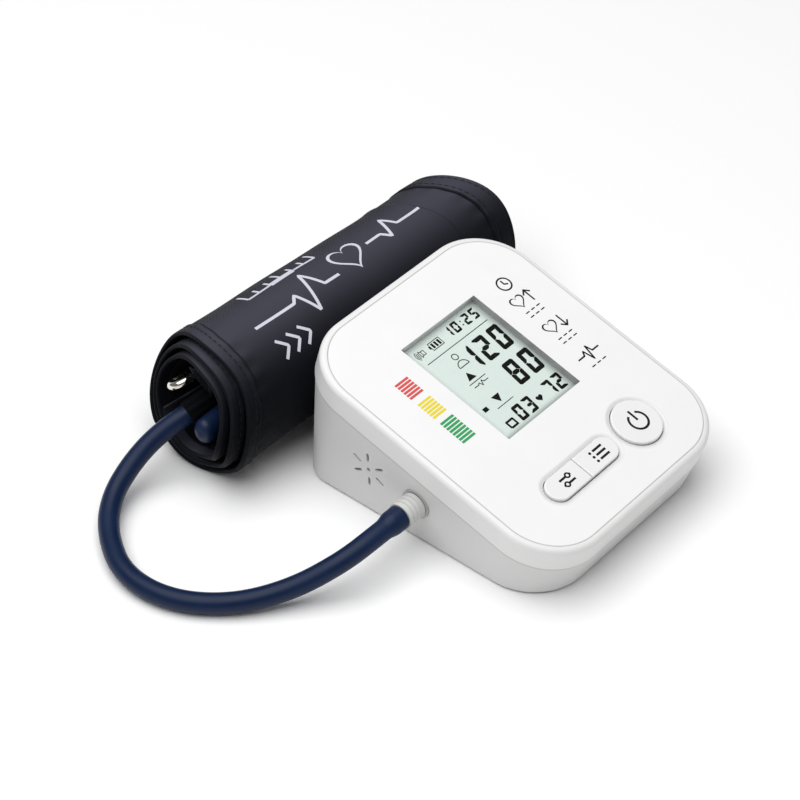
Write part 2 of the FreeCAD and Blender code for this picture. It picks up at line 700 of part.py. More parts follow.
def add_left_side(body):
    """Seats for the speaker and the air socket on the left wall, the grille and the socket's hole."""
    ring = new_sketch(body, "YZ_Plane", z=-size.speaker_seat)
    circle(ring, size.speaker_radius, size.speaker_y, size.speaker_z)
    circle(ring, size.speaker_radius - size.seat_ring, size.speaker_y, size.speaker_z)
    pad(body, ring, size.seat_root - size.speaker_seat, reverse=True)
    socket_seat = new_sketch(body, "YZ_Plane", z=-size.speaker_seat)
    circle(socket_seat, size.socket_flange_radius, size.socket_y, size.socket_z)
    pad(body, socket_seat, size.seat_root - size.speaker_seat, reverse=True)
    through = size.case_width / 2 - size.speaker_seat + size.overrun
    hole = new_sketch(body, "YZ_Plane", z=-size.speaker_seat)
    circle(hole, size.socket_radius + size.fit_gap / 2, size.socket_y, size.socket_z)
    pocket(body, hole, through)
    middle = new_sketch(body, "YZ_Plane", z=-size.speaker_seat)
    circle(middle, size.grille_hole, size.speaker_y, size.speaker_z)
    pocket(body, middle, through)
    petal = new_sketch(body, "YZ_Plane", x=size.speaker_y, y=size.speaker_z, z=-size.speaker_seat,
                       turn=Size(180.0 / GRILLE_SLOTS, f"(180 / {GRILLE_SLOTS})"), axis=Z_AXIS)
    stadium(petal, size.grille_outer - size.grille_inner, size.grille_slot,
            (size.grille_outer + size.grille_inner) / 2)
    slot = pocket(body, petal, through)
    petals = body.newObject("PartDesign::PolarPattern", "grille_petals")
    petals.Originals = [slot]
    petals.Axis = (petal, ["N_Axis"])
    petals.Angle = FULL_TURN
    petals.Occurrences = GRILLE_SLOTS
    body.Tip = petals


def make_battery_cover():
    cover = new_body("battery_cover")
    plate = new_sketch(cover, z=size.cover_recess)
    back = size.bay_front + size.bay_length + size.cover_ledge - size.cover_gap
    rectangle(plate, bay_width + size.cover_ledge * 2 - size.cover_gap * 2, back - cover_front,
              y=(back + cover_front) / 2)
    pad(cover, plate, size.cover_thick)
    for x in (-size.hinge_reach, size.hinge_reach):
        arm = new_sketch(cover, z=size.cover_recess)
        length = size.hinge_setback + size.overrun
        rectangle(arm, size.hinge_length, length, x, hinge_y + length / 2)
        pad(cover, arm, size.hinge_radius * 2)
        bead = new_sketch(cover, "YZ_Plane", z=x - size.hinge_length / 2)
        circle(bead, size.hinge_radius, hinge_y, hinge_z)
        pad(cover, bead, size.hinge_length)
    latch = new_sketch(cover, z=size.cover_recess)
    length = size.latch_length + size.overrun
    for x in (-size.latch_width / 2, size.latch_width / 2):
        rectangle(latch, size.latch_slot, length, x, back + size.overrun - length / 2)
    pocket(cover, latch, size.cover_thick + size.overrun, reverse=True)


def make_batteries():
    """Four cells side by side, turned end for end, between contact plates and springs."""
    cells, springs, contacts = [], [], []
    body_length = size.cell_length - size.cell_nib
    front = size.bay_front + size.contact_thick
    back = size.bay_front + size.bay_length - size.contact_thick
    spring_length = back - front - size.cell_length
    for n in range(CELLS):
        x = size.cell_pitch * (n - (CELLS - 1) / 2)
        nib_front = n % 2 == 0
        start = front + size.cell_nib if nib_front else front + spring_length
        can = cylinder(f"cell_can_{n}", size.cell_radius, body_length, x, start, cell_height,
                       BACK_ANGLE, X_AXIS)
        nib_start = front if nib_front else start + body_length
        nib = cylinder(f"cell_nib_{n}", size.cell_nib_radius, size.cell_nib, x, nib_start, cell_height,
                       BACK_ANGLE, X_AXIS)
        cells.append(joined(f"cell_{n}", "MultiFuse", [can, nib], node=False))
        spring = doc.addObject("Part::Cone", f"spring_{n}")
        wide, tip = ("Radius2", "Radius1") if nib_front else ("Radius1", "Radius2")
        bind(spring, wide, size.spring_radius)
        bind(spring, tip, size.spring_tip_radius)
        bind(spring, "Height", spring_length)
        seat(spring, x, back - spring_length if nib_front else front, cell_height, BACK_ANGLE, X_AXIS)
        springs.append(spring)
        for side, y in (("front", size.bay_front), ("back", back)):
            contacts.append(block(f"contact_{side}_{n}", size.cell_pitch - size.contact_margin,
                                  size.contact_thick, size.cell_radius * 2 - size.contact_margin,
                                  x, y + size.contact_thick / 2,
                                  cell_height - size.cell_radius + size.contact_margin / 2))
    joined("battery_cells", "Compound", cells)
    joined("battery_springs", "Compound", springs)
    joined("battery_contacts", "Compound", contacts)


def make_small_parts():
    screws = []
    for n, (x, y, top) in enumerate(screw_posts()):
        under = top - size.post_seat
        head = cylinder(f"case_screw_head_{n}", size.screw_head_radius, size.screw_head,
                        x, y, under - size.screw_head)
        shank = cylinder(f"case_screw_shank_{n}", size.screw_radius, size.screw_length, x, y, under)
        screws.append(joined(f"case_screw_{n}", "MultiFuse", [head, shank], node=False))
    joined("case_screws", "Compound", screws)
    pads = []
    for n, (x, y) in enumerate(pad_spots()):
        pads.append(cylinder(f"pad_{n}", size.pad_radius, size.pad_thick, x, y))
    joined("rubber_pads", "Compound", pads)
    cone = cylinder("speaker_can", size.speaker_radius, size.speaker_depth,
                    -size.speaker_seat, size.speaker_y, size.speaker_z, RIGHT_ANGLE)
    magnet = cylinder("speaker_magnet", size.magnet_radius, size.magnet_depth,
                      size.speaker_depth - size.speaker_seat, size.speaker_y, size.speaker_z, RIGHT_ANGLE)
    joined("speaker", "MultiFuse", [cone, magnet])


def along_left(label):
    """A body whose X axis runs through the air socket."""
    body = new_body(label)
    seat(body, y=size.socket_y, z=size.socket_z)
    return body


plug_face = -(size.socket_face + size.plug_gap)
plug_back = plug_face - size.plug_collar
seal_floor = size.socket_bore - size.fit_gap / 2 - size.seal_thick
seal_x = -(size.plug_nose_end + size.seal_back)


def make_socket_and_plug():
    socket = along_left("air_socket")
    profile = new_sketch(socket)
    face, flange, end = -size.socket_face, -size.speaker_seat, -size.socket_end
    step, bottom = flange + size.socket_flange, -size.socket_bore_end
    polygon(profile, [
        (face, size.socket_bore), (face, size.socket_radius), (flange, size.socket_radius),
        (flange, size.socket_flange_radius), (step, size.socket_flange_radius),
        (step, size.socket_tail_radius), (end, size.socket_tail_radius), (end, size.air_bore),
        (bottom, size.air_bore), (bottom, size.socket_bore),
    ])
    revolve(socket, profile, "H_Axis")
    plug = along_left("hose_plug")
    outline = new_sketch(plug)
    nose, barb_end = -size.plug_nose_end, plug_back - size.plug_barb
    groove = size.seal_thick / 2 + size.fit_gap / 2
    points = [
        (nose, size.air_bore), (nose, size.plug_nose_radius), (seal_x + groove, size.plug_nose_radius),
        (seal_x + groove, seal_floor), (seal_x - groove, seal_floor),
        (seal_x - groove, size.plug_nose_radius), (plug_face, size.plug_nose_radius),
        (plug_face, size.plug_collar_radius),
    ]
    pitch = size.plug_collar / (PLUG_RIBS + 1)
    waist = size.plug_collar_radius - size.plug_groove
    for n in range(1, PLUG_RIBS + 1):
        middle = plug_face - pitch * n
        for x, radius in ((size.plug_rib / 2, size.plug_collar_radius), (size.plug_rib / 4, waist),
                          (-size.plug_rib / 4, waist), (-size.plug_rib / 2, size.plug_collar_radius)):
            points.append((middle + x, radius))
    ridge = size.barb_radius + size.barb_ridge
    points += [
        (plug_back, size.plug_collar_radius), (plug_back, size.barb_radius),
        (barb_end + size.plug_barb / 3, size.barb_radius), (barb_end + size.plug_barb / 3, ridge),
        (barb_end, size.barb_radius), (barb_end, size.air_bore),
    ]
    polygon(outline, points)
    revolve(plug, outline, "H_Axis")
    ring = doc.addObject("Part::Torus", "plug_seal")
    bind(ring, "Radius1", seal_floor + size.seal_thick / 2)
    bind(ring, "Radius2", size.seal_thick / 2)
    seat(ring, seal_x, size.socket_y, size.socket_z, RIGHT_ANGLE, Y_AXIS)
    nodes["plug_seal"] = ring


def bent_path(points):
    """A wire of straight runs with the largest tangent arcs that their lengths allow, and its radii."""
    spots = [Vector(*point) for point in points]
    edges, radii = [], []
    last = spots[0]
    for before, corner, after in zip(spots, spots[1:], spots[2:]):
        into, out = corner - before, after - corner
        trim = BEND_SHARE * min(into.Length, out.Length)
        turn = into.getAngle(out)
        radius = trim / math.tan(turn / 2)
        into.normalize()
        out.normalize()
        start, end = corner - into * trim, corner + out * trim
        inward = out - into
        inward.normalize()
        middle = corner + inward * (radius / math.cos(turn / 2) - radius)
        edges += [Part.LineSegment(last, start).toShape(), Part.Arc(start, middle, end).toShape()]
        radii.append(radius)
        last = end
    edges.append(Part.LineSegment(last, spots[-1]).toShape())
    return Part.Wire(edges), radii


def pipe(path, radius):
    """A solid round bar along a path."""
    first = path.Edges[0]
    rim = Part.Circle(first.firstVertex().Point, first.tangentAt(first.FirstParameter), radius)
    return path.makePipeShell([Part.Wire(rim.toShape())], True, False)


def make_hose():
    path, radii = bent_path(HOSE_ROUTE)
    print("hose radii", [round(radius, 1) for radius in radii], "length", round(path.Length, 1))
    radius = size.hose_radius.value
    bar = pipe(path, radius)
    print("hose volume over section times length", bar.Volume / (math.pi * radius ** 2 * path.Length))
    start = Vector(*HOSE_ROUTE[0])
    reach = size.hose_sleeve.value
    swollen = Vector(-reach / 2, 0, radius + size.hose_swell.value)
    crown = [Vector(0, 0, radius), swollen, Vector(-reach, 0, radius)]
    end = Vector(-reach, 0, 0)
    rim = Part.Wire([
        Part.Arc(*crown).toShape(), Part.LineSegment(crown[2], end).toShape(),
        Part.LineSegment(end, Vector()).toShape(), Part.LineSegment(Vector(), crown[0]).toShape(),
    ])
    sleeve = Part.Face(rim).revolve(Vector(), X_AXIS, FULL_TURN)
    sleeve.translate(start)
    barb = (size.barb_radius + size.barb_ridge).value
    cavity = Part.makeCylinder(barb, size.plug_barb.value, start, -X_AXIS)
    hose = bar.fuse(sleeve).cut(cavity).cut(pipe(path, size.hose_bore.value)).removeSplitter()
    free_shape("air_hose", hose.Solids[0])


def make_pneumatics():
    """Manifold on the socket's tail, with the sensor, the valve and the pump on its three other ports."""
    x = size.manifold_size / 2 - size.socket_end
    half = size.manifold_size / 2
    level = size.socket_z
    cube = block("manifold_cube", size.manifold_size, size.manifold_size, size.manifold_size,
                 x, size.socket_y, level - half)
    right = cylinder("manifold_right", size.nozzle_radius, size.nozzle,
                     x + half, size.socket_y, level, RIGHT_ANGLE)
    rear = cylinder("manifold_rear", size.nozzle_radius, size.nozzle,
                    x, size.socket_y + half, level, BACK_ANGLE, X_AXIS)
    front = cylinder("manifold_front", size.nozzle_radius, size.nozzle,
                     x, size.socket_y - half, level, RIGHT_ANGLE, X_AXIS)
    joined("air_manifold", "MultiFuse", [cube, right, rear, front])
    block_y = size.socket_y - half - size.nozzle - size.sensor_depth / 2
    sensor = block("pressure_sensor", size.sensor_width, size.sensor_depth, size.sensor_height, x, block_y,
                   level - size.sensor_height / 2)
    nodes["pressure_sensor"] = sensor
    valve_x = x + half + size.nozzle + size.valve_gap
    coil = cylinder("valve_coil", size.valve_radius, size.valve_length,
                    valve_x + size.nozzle, size.socket_y, bay_top + size.valve_radius, RIGHT_ANGLE)
    inlet = cylinder("valve_inlet", size.nozzle_radius, size.nozzle,
                     valve_x, size.socket_y, level, RIGHT_ANGLE)
    joined("release_valve", "MultiFuse", [coil, inlet])
    pump_z = bay_top + size.head_size / 2
    head = block("pump_block", size.head_length, size.head_size, size.head_size,
                 size.head_length / 2 - size.head_left, size.pump_y, bay_top)
    outlet_y = size.pump_y - size.head_size / 2 - size.nozzle
    outlet = cylinder("pump_outlet", size.nozzle_radius, size.nozzle, size.pump_port_x, outlet_y, pump_z,
                      BACK_ANGLE, X_AXIS)
    joined("pump_head", "MultiFuse", [head, outlet])
    motor_x = size.head_length - size.head_left
    can = cylinder("motor_can", size.motor_radius, size.motor_length,
                   motor_x, size.pump_y, pump_z, RIGHT_ANGLE)
    cap = cylinder("motor_cap", size.motor_shaft_radius, size.motor_cap,
                   motor_x + size.motor_length, size.pump_y, pump_z, RIGHT_ANGLE)
    joined("pump_motor", "MultiFuse", [can, cap])
    start = Vector(x.value, (size.socket_y + half + size.nozzle).value, level.value)
    end = Vector(size.pump_port_x.value, outlet_y.value, pump_z.value)
    run = Y_AXIS * size.port_run.value
    path, radii = bent_path([start, start + run, end - run, end])
    print("tube radii", [round(radius, 1) for radius in radii])
    gap_start = Vector((valve_x - size.valve_gap).value, size.socket_y.value, level.value)
    link = Part.makeCylinder(size.tube_radius.value, size.valve_gap.value, gap_start, X_AXIS)
    free_shape("air_tubes", Part.Compound([pipe(path, size.tube_radius.value), link]))


# The cuff: a spiral of nested layers, in quarter turns that wind out from the core, over the top to the back


def quarter_turn(n):
    """Centre, radius and first angle of the spiral's n-th quarter turn, on the lining's inner face."""
    grow = size.cuff_pitch.value / 4
    centre = Vector(0, 0, 0)
    angle = size.cuff_end_angle.value
    for step in range(n):
        angle -= QUARTER
        centre = centre - compass(angle) * grow
    return centre, size.cuff_core.value + grow * n, angle


def compass(angle):
    """The unit vector at an angle from +Y towards +Z."""
    return Vector(0, math.cos(math.radians(angle)), math.sin(math.radians(angle)))


def bottom_of(n, offset):
    """The lowest height on one quarter turn."""
    centre, radius, angle = quarter_turn(n)
    share = (angle + QUARTER) % FULL_TURN / QUARTER
    return centre.z - (radius + offset) if share <= 1 else 0.0


def spiral_arc(n, offset, first_share=0.0, last_share=1.0):
    """The arc of one quarter turn, offset outwards, between two shares of its sweep."""
    centre, radius, angle = quarter_turn(n)
    shares = (first_share, (first_share + last_share) / 2, last_share)
    return [centre + compass(angle - QUARTER * share) * (radius + offset) for share in shares]


def band(inner, outer, quarters, left, right, first_share=0.0, last_share=1.0):
    """A closed layer between two offsets over some quarter turns, from x left to right."""
    outside, inside = [], []
    for n in quarters:
        first = first_share if n == quarters[0] else 0.0
        last = last_share if n == quarters[-1] else 1.0
        outside.append(spiral_arc(n, outer, first, last))
        inside.append(spiral_arc(n, inner, first, last))
    edges = [Part.Arc(*points).toShape() for points in outside]
    edges.append(Part.LineSegment(outside[-1][2], inside[-1][2]).toShape())
    edges += [Part.Arc(*points[::-1]).toShape() for points in inside[::-1]]
    edges.append(Part.LineSegment(inside[0][0], outside[0][0]).toShape())
    profile = Part.Face(Part.Wire(edges))
    profile.translate(Vector(left, 0, 0))
    return profile.extrude(Vector(right - left, 0, 0))


def strip(inner, outer, turns, half):
    """A layer as wide as the cuff. Its left end leans in towards the top and its right end towards the back."""
    back = Vector(half, half, -half)
    start = Vector(half, -size.hem_slant_start.value, -half)
    corner = Part.makePolygon([start, back, back - X_AXIS * size.hem_slant.value, start])
    hem = Part.Face(corner).extrude(Z_AXIS * half * 2)
    pieces = []
    for quarters, proud in ((turns[:4], size.cuff_core_proud.value), (turns[4:], 0.0)):
        left = -half - proud
        layer = band(inner, outer, quarters, left, half)
        foot = Vector(left, -half, -size.cuff_slant_foot.value)
        rise = 2 * size.cuff_core.value + size.cuff_slant_foot.value
        top = foot + Z_AXIS * rise
        lean = Part.makePolygon([foot, top, top + X_AXIS * size.cuff_slant.value, foot])
        pieces.append(layer.cut([Part.Face(lean).extrude(Y_AXIS * half * 2), hem]))
    return pieces[0].fuse(pieces[1]).removeSplitter().Solids[0]


def make_cuff():
    gap = size.layer_gap.value
    lining = (0.0, size.lining_thick.value)
    bladder = (lining[1] + gap, lining[1] + gap + size.bladder_thick.value)
    cover = (bladder[1] + gap, bladder[1] + gap + size.cover_cloth.value)
    patch = (cover[1] + gap, cover[1] + gap + size.patch_thick.value)
    half = size.cuff_width.value / 2
    turns = list(range(4 * CUFF_TURNS))
    lowest = min(bottom_of(n, cover[1]) for n in turns)
    middle = Vector(size.cuff_x.value, size.cuff_y.value, -lowest)
    place = Placement(middle, Rotation(Z_AXIS, size.cuff_turn.value))
    free_shape("cuff_cover", strip(*cover, turns, half), place)
    free_shape("cuff_lining", strip(*lining, turns, half), place)
    side = size.bladder_width.value / 2
    free_shape("cuff_bladder", band(*bladder, turns[1:4 * BLADDER_TURNS], -side, side), place)
    side = size.patch_width.value / 2
    free_shape("hook_patch", band(*patch, turns[-1:], -side, side, *PATCH_SHARES), place)
    make_ring(place)
    make_port(place)


def make_ring(place):
    """A long wire ring that lies in the core along the roll, and the loop of cloth round one of its sides."""
    out = compass(size.ring_angle.value)
    along = compass(size.ring_angle.value + QUARTER)
    middle = out * size.ring_distance.value
    reach = size.ring_half_width.value
    half = size.ring_length.value / 2 - reach
    shift = X_AXIS * (size.ring_length.value / 2 - size.cuff_width.value / 2 + size.ring_inset.value)
    corners = [middle + shift + X_AXIS * (half * side) + along * (reach * way) for side, way in
               ((-1, -1), (1, -1), (1, 1), (-1, 1))]
    tips = [middle + shift + X_AXIS * ((half + reach) * side) for side in (1, -1)]
    wire = Part.Wire([
        Part.LineSegment(corners[0], corners[1]).toShape(),
        Part.Arc(corners[1], tips[0], corners[2]).toShape(),
        Part.LineSegment(corners[2], corners[3]).toShape(),
        Part.Arc(corners[3], tips[1], corners[0]).toShape(),
    ])
    free_shape("cuff_ring", pipe(wire, size.ring_wire.value), place)
    start = corners[3] + X_AXIS * (half - size.loop_length.value / 2)
    bore = size.ring_wire.value + size.soft_gap.value
    sleeve = Part.makeCylinder(bore + size.loop_thick.value, size.loop_length.value, start, X_AXIS)
    hole = Part.makeCylinder(bore, size.loop_length.value, start, X_AXIS)
    free_shape("ring_loop", sleeve.cut(hole), place)


def make_port(place):
    """The rubber port on the core's near wall: a round tail, a head that the hose meets and a foot."""
    end = Vector(*HOSE_ROUTE[-1])
    core = place.multVec(X_AXIS * (end.x - size.cuff_x.value))
    tail_axis = core + Vector(0, -size.port_reach.value, -size.port_drop.value)
    tip_x = size.cuff_x - size.cuff_width / 2 - size.port_proud
    tip = Vector(tip_x.value, tail_axis.y, tail_axis.z)
    radius = size.port_radius.value
    tail = Part.makeCylinder(radius, tail_axis.x - tip.x - radius, tip + X_AXIS * radius, X_AXIS)
    nose = Part.makeSphere(radius, tip + X_AXIS * radius)
    head_radius = size.port_head_radius.value
    head = Part.makeCylinder(head_radius, size.port_head.value, end, X_AXIS)
    root = Part.makeCylinder(head_radius, size.port_head.value, tail_axis, X_AXIS)
    across = end - tail_axis
    side = Vector(0, -across.z, across.y)
    side.normalize()
    corners = [tail_axis + side * head_radius, end + side * head_radius, end - side * head_radius,
               tail_axis - side * head_radius]
    web = Part.Face(Part.makePolygon(corners + corners[:1])).extrude(X_AXIS * size.port_head.value)
    foot_height = size.port_foot_height.value
    foot_start = Vector(end.x, core.y - size.port_foot.value, tail_axis.z - foot_height / 2)
    foot_length = (size.port_foot - size.port_reach).value
    foot = Part.makeBox(size.port_head.value, foot_length, foot_height, foot_start)
    port = tail.fuse([nose, head, root, web, foot]).removeSplitter()
    free_shape("bladder_port", port.Solids[0])


make_upper_case()
make_face_plate()
make_display()
make_board()
make_keys()
make_lower_case()
make_battery_cover()
make_batteries()
make_small_parts()
make_socket_and_plug()
make_hose()
make_pneumatics()
make_cuff()
doc.recompute()

failed = [item.Label for item in doc.Objects if "Invalid" in item.State or "Error" in item.State]
if failed:
    raise RuntimeError(f"failed objects: {failed}")
os.makedirs("parts", exist_ok=True)
for label, item in nodes.items():
    if item.Shape.isNull() or not item.Shape.isValid():
        raise RuntimeError(f"{label} has no valid shape")
for label, item in nodes.items():
    item.Shape.exportStep(f"parts/{label}.step")
    print(label, "solids", len(item.Shape.Solids), "volume", round(item.Shape.Volume, 1))
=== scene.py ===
# %% [markdown]
# A home blood pressure monitor, with its hose and its rolled arm cuff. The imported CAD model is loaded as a
# fixed frame: its rigid pieces keep their shape and get finishes here, and its soft pieces are replaced by
# cloth and rubber that look like what they are.

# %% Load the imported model
import bmesh
import bpy
import numpy as np
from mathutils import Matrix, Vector


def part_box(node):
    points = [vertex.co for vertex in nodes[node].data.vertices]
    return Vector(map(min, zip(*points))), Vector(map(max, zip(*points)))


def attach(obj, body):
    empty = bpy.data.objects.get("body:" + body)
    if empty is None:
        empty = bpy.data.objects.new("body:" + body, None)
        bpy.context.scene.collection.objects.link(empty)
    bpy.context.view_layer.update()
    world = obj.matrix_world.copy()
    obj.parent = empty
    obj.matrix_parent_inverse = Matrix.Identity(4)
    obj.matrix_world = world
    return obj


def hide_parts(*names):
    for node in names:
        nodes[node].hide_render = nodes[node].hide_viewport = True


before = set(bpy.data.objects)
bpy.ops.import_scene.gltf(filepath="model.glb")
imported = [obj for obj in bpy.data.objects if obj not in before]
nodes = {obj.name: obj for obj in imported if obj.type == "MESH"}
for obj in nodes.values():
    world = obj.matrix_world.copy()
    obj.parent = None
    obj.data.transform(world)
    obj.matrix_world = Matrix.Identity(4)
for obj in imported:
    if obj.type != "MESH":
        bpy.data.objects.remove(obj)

MM = 0.001
scene = bpy.context.scene
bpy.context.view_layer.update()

# %% [markdown]
# The camera stands at the left front and looks down on the monitor, from nearly a metre away with a long
# lens, so that the case's edges stay almost parallel. The plain view transform keeps whites white.

# %% Camera
def look_at(thing, place, aim):
    """Puts a camera or a light at a place and turns its -z axis to its aim."""
    thing.location = place
    thing.rotation_euler = (aim - place).to_track_quat("-Z", "Y").to_euler()


camera = bpy.data.objects.new("camera", bpy.data.cameras.new("camera"))
scene.collection.objects.link(camera)
camera.data.lens = 112.92
camera.data.sensor_width = 36.0
camera.data.sensor_fit = "HORIZONTAL"
aim = Vector((-22.9, 32.96, 30.0)) * MM
look_at(camera, Vector((-557.88, -423.23, 643.81)) * MM, aim)
scene.camera = camera
scene.view_settings.view_transform = "Standard"
print("camera is", round((aim - camera.location).length, 3), "m from its aim")

# %% [markdown]
# Materials are small node trees. Colours are written as the sRGB values that an eye picks from a swatch, and
# Blender's shaders want them linear, so one function turns them. Another adds a node, sets what is given as a
# value, links what is given as another node's output, and gives back its own output for the next node.

# %% Colours and nodes
def linear(colour):
    """sRGB hex to linear: a channel c is c / 12.92 when dark, and otherwise ((c + 0.055) / 1.055) ^ 2.4."""
    c = np.array([int(colour[i:i + 2], 16) for i in (1, 3, 5)]) / 255
    c = np.where(c <= 0.04045, c / 12.92, ((c + 0.055) / 1.055) ** 2.4)
    return (*c.tolist(), 1.0)


def connect(tree, node, inputs):
    """Sets each input that is given as a value, and links each that is given as another node's output."""
    for key, value in dict(inputs).items():
        if isinstance(value, bpy.types.NodeSocket):
            tree.links.new(value, node.inputs[key])
        else:
            node.inputs[key].default_value = value


def add(tree, kind, inputs=(), out=0, **settings):
    """A new node with its settings and its inputs; gives back the output that is asked for, or all of them."""
    node = tree.nodes.new(kind)
    for name, value in settings.items():
        setattr(node, name, value)
    connect(tree, node, inputs)
    return node.outputs if out == "all" else node.outputs[out]


def new_material(name):
    """A material, its node tree and the shader in it, which Blender links to the output by itself."""
    material = bpy.data.materials.new(name)
    material.use_nodes = True
    return material, material.node_tree, material.node_tree.nodes["Principled BSDF"]


def per_metre(size_mm):
    """A texture's scale for cells of that size, on coordinates in metres."""
    return 1000.0 / size_mm


# For a Mix node, to mix colours: its inputs 6 and 7 by its input 0, into its output 2.
COLOURS = {"data_type": "RGBA", "out": 2}
print("linear mid grey", [round(c, 3) for c in linear("#808080")])

# %% [markdown]
# Moulded plastic is not flat: the tool's surface leaves a grain of a few tenths of a millimetre, and handling
# leaves cloudy patches of more and less gloss, some 14 mm across. One recipe gives all the plastics and
# rubbers: a fine noise for the grain, which moves the normal, and a slow noise for colour and gloss.

# %% Moulded plastic and rubber
CLOUD_SIZE = 14.0


def moulded(name, colour, shade, rough, gloss_spread, grain_mm, depth_mm, ior=1.5, **shader):
    """Two colours mixed by a slow noise, roughness spread by the same noise, and a fine grain as bump."""
    material, tree, surface = new_material(name)
    place = add(tree, "ShaderNodeTexCoord", out="Object")
    clouds = add(tree, "ShaderNodeTexNoise", {"Vector": place, "Scale": per_metre(CLOUD_SIZE), "Detail": 3.0})
    grain = add(tree, "ShaderNodeTexNoise", {"Vector": place, "Scale": per_metre(grain_mm), "Detail": 2.0})
    tone = add(tree, "ShaderNodeMix", {0: clouds, 6: linear(shade), 7: linear(colour)}, **COLOURS)
    gloss = add(tree, "ShaderNodeMapRange", {"Value": clouds, "From Min": 0.3, "From Max": 0.7,
                                             "To Min": rough - gloss_spread, "To Max": rough + gloss_spread})
    bump = add(tree, "ShaderNodeBump", {"Height": grain, "Distance": depth_mm * MM})
    connect(tree, surface, {"Base Color": tone, "Roughness": gloss, "Normal": bump, "IOR": ior, **shader})
    return material


# Satin ABS: white with a faint spark-eroded grain of 0.4 mm, which spreads highlights softly.
abs_white = moulded("abs_satin_white", "#F2F2F1", "#EDEDED", 0.42, 0.05, 0.4, 0.006)
# The lower shell and the battery door are a light grey ABS, a little rougher.
abs_grey = moulded("abs_satin_light_grey", "#E0E0DF", "#DBDBDB", 0.46, 0.05, 0.4, 0.008)
# Polycarbonate film on the face: smoother and whiter than the case.
film_white = moulded("polycarbonate_film_white", "#FBFBFB", "#F8F8F8", 0.32, 0.04, 0.8, 0.002, 1.58)
# Key caps are ABS from a polished tool.
key_white = moulded("abs_polished_white", "#F6F6F6", "#F3F3F3", 0.3, 0.04, 0.6, 0.002)
# The socket is a plain grey ABS, and the plug is acetal, which looks a little waxy.
abs_socket = moulded("abs_socket_grey", "#BABAB9", "#B3B3B3", 0.4, 0.05, 0.4, 0.006)
pom_plug = moulded("pom_plug_white", "#D4D4D2", "#CDCDCB", 0.38, 0.05, 0.5, 0.004, 1.48)
# Inner pieces: dark ABS for frames and switches, nitrile for pads and seals, milky silicone for the tubes.
abs_inner = moulded("abs_inner_dark", "#47474A", "#3C3C40", 0.55, 0.06, 0.5, 0.01)
nitrile = moulded("nitrile_rubber_black", "#232325", "#1B1B1D", 0.7, 0.06, 0.5, 0.015, 1.52)
silicone = moulded("silicone_tube", "#D2CEC2", "#C6C2B6", 0.5, 0.08, 0.8, 0.005, 1.41)
# Soft PVC hose and rubber port: deep blue, with a skin smooth enough for a long soft highlight.
pvc_hose = moulded("pvc_hose_navy", "#0F2548", "#0B1D3C", 0.42, 0.06, 0.7, 0.006, 1.53,
                   **{"Specular IOR Level": 0.2})
natural_rubber = moulded("rubber_port_navy", "#12264A", "#0D1E3E", 0.45, 0.06, 0.7, 0.008, 1.52,
                         **{"Specular IOR Level": 0.3})
print("moulded materials", len(bpy.data.materials))

# %% [markdown]
# Metals: nickel-plated steel for contacts and screws, drawn steel for the motor can and the speaker, chrome
# for the cuff's ring. What makes them metal is their reflection, so the recipe varies only tint and gloss,
# with fine stretched scratches from the tool.

# %% Metals
SCRATCH_STRETCH = 12


def metal(name, colour, shade, rough, gloss_spread, scratch_mm, depth_mm):
    """A metal whose tint and roughness follow a noise that is stretched along x, as scratches."""
    material, tree, surface = new_material(name)
    place = add(tree, "ShaderNodeTexCoord", out="Object")
    drawn = add(tree, "ShaderNodeMapping", {"Vector": place, "Scale": (1 / SCRATCH_STRETCH, 1.0, 1.0)})
    scratches = add(tree, "ShaderNodeTexNoise", {"Vector": drawn, "Scale": per_metre(scratch_mm), "Detail": 3.0})
    tone = add(tree, "ShaderNodeMix", {0: scratches, 6: linear(shade), 7: linear(colour)}, **COLOURS)
    gloss = add(tree, "ShaderNodeMapRange", {"Value": scratches, "To Min": rough - gloss_spread,
                                             "To Max": rough + gloss_spread})
    bump = add(tree, "ShaderNodeBump", {"Height": scratches, "Distance": depth_mm * MM})
    connect(tree, surface, {"Base Color": tone, "Roughness": gloss, "Normal": bump, "Metallic": 1.0})
    return material


# Nickel plate is warm and bright, and drawn steel greyer and duller.
nickel = metal("nickel_plated_steel", "#D8D6D0", "#C4C2BB", 0.28, 0.08, 0.3, 0.002)
drawn_steel = metal("drawn_steel", "#B9BABD", "#A4A5A9", 0.38, 0.1, 0.3, 0.003)
# Chrome wire: near-mirror, warm in the shade of the cloth.
chrome = metal("chrome_plated_wire", "#EFEBE2", "#DAD5C8", 0.12, 0.05, 0.5, 0.001)
print("metals", [m.name for m in (nickel, drawn_steel, chrome)])

# %% [markdown]
# Two inner pieces have a pattern of their own. A glass-fibre board is green lacquer over copper tracks, so it
# gets lines of a lighter green. The cells wear a printed film with one bright end. Both patterns follow
# Object coordinates, because the pieces never move inside the case.

# %% Circuit board and cells
TRACK_SPACING, BAND_EDGE = 3.0, 36.0


def lacquered_board():
    """FR4 under green lacquer: the cell borders of a Voronoi pattern, measured by city blocks, are tracks."""
    material, tree, surface = new_material("fr4_board_green_lacquer")
    place = add(tree, "ShaderNodeTexCoord", out="Object")
    near = add(tree, "ShaderNodeTexVoronoi", {"Vector": place, "Scale": per_metre(TRACK_SPACING)},
               distance="MANHATTAN")
    tracks = add(tree, "ShaderNodeMapRange", {"Value": near, "From Min": 0.55, "From Max": 0.6})
    tone = add(tree, "ShaderNodeMix", {0: tracks, 6: linear("#135A34"), 7: linear("#2E7A4C")}, **COLOURS)
    bump = add(tree, "ShaderNodeBump", {"Height": tracks, "Distance": 0.03 * MM})
    connect(tree, surface, {"Base Color": tone, "Roughness": 0.35, "Normal": bump, "IOR": 1.55})
    return material


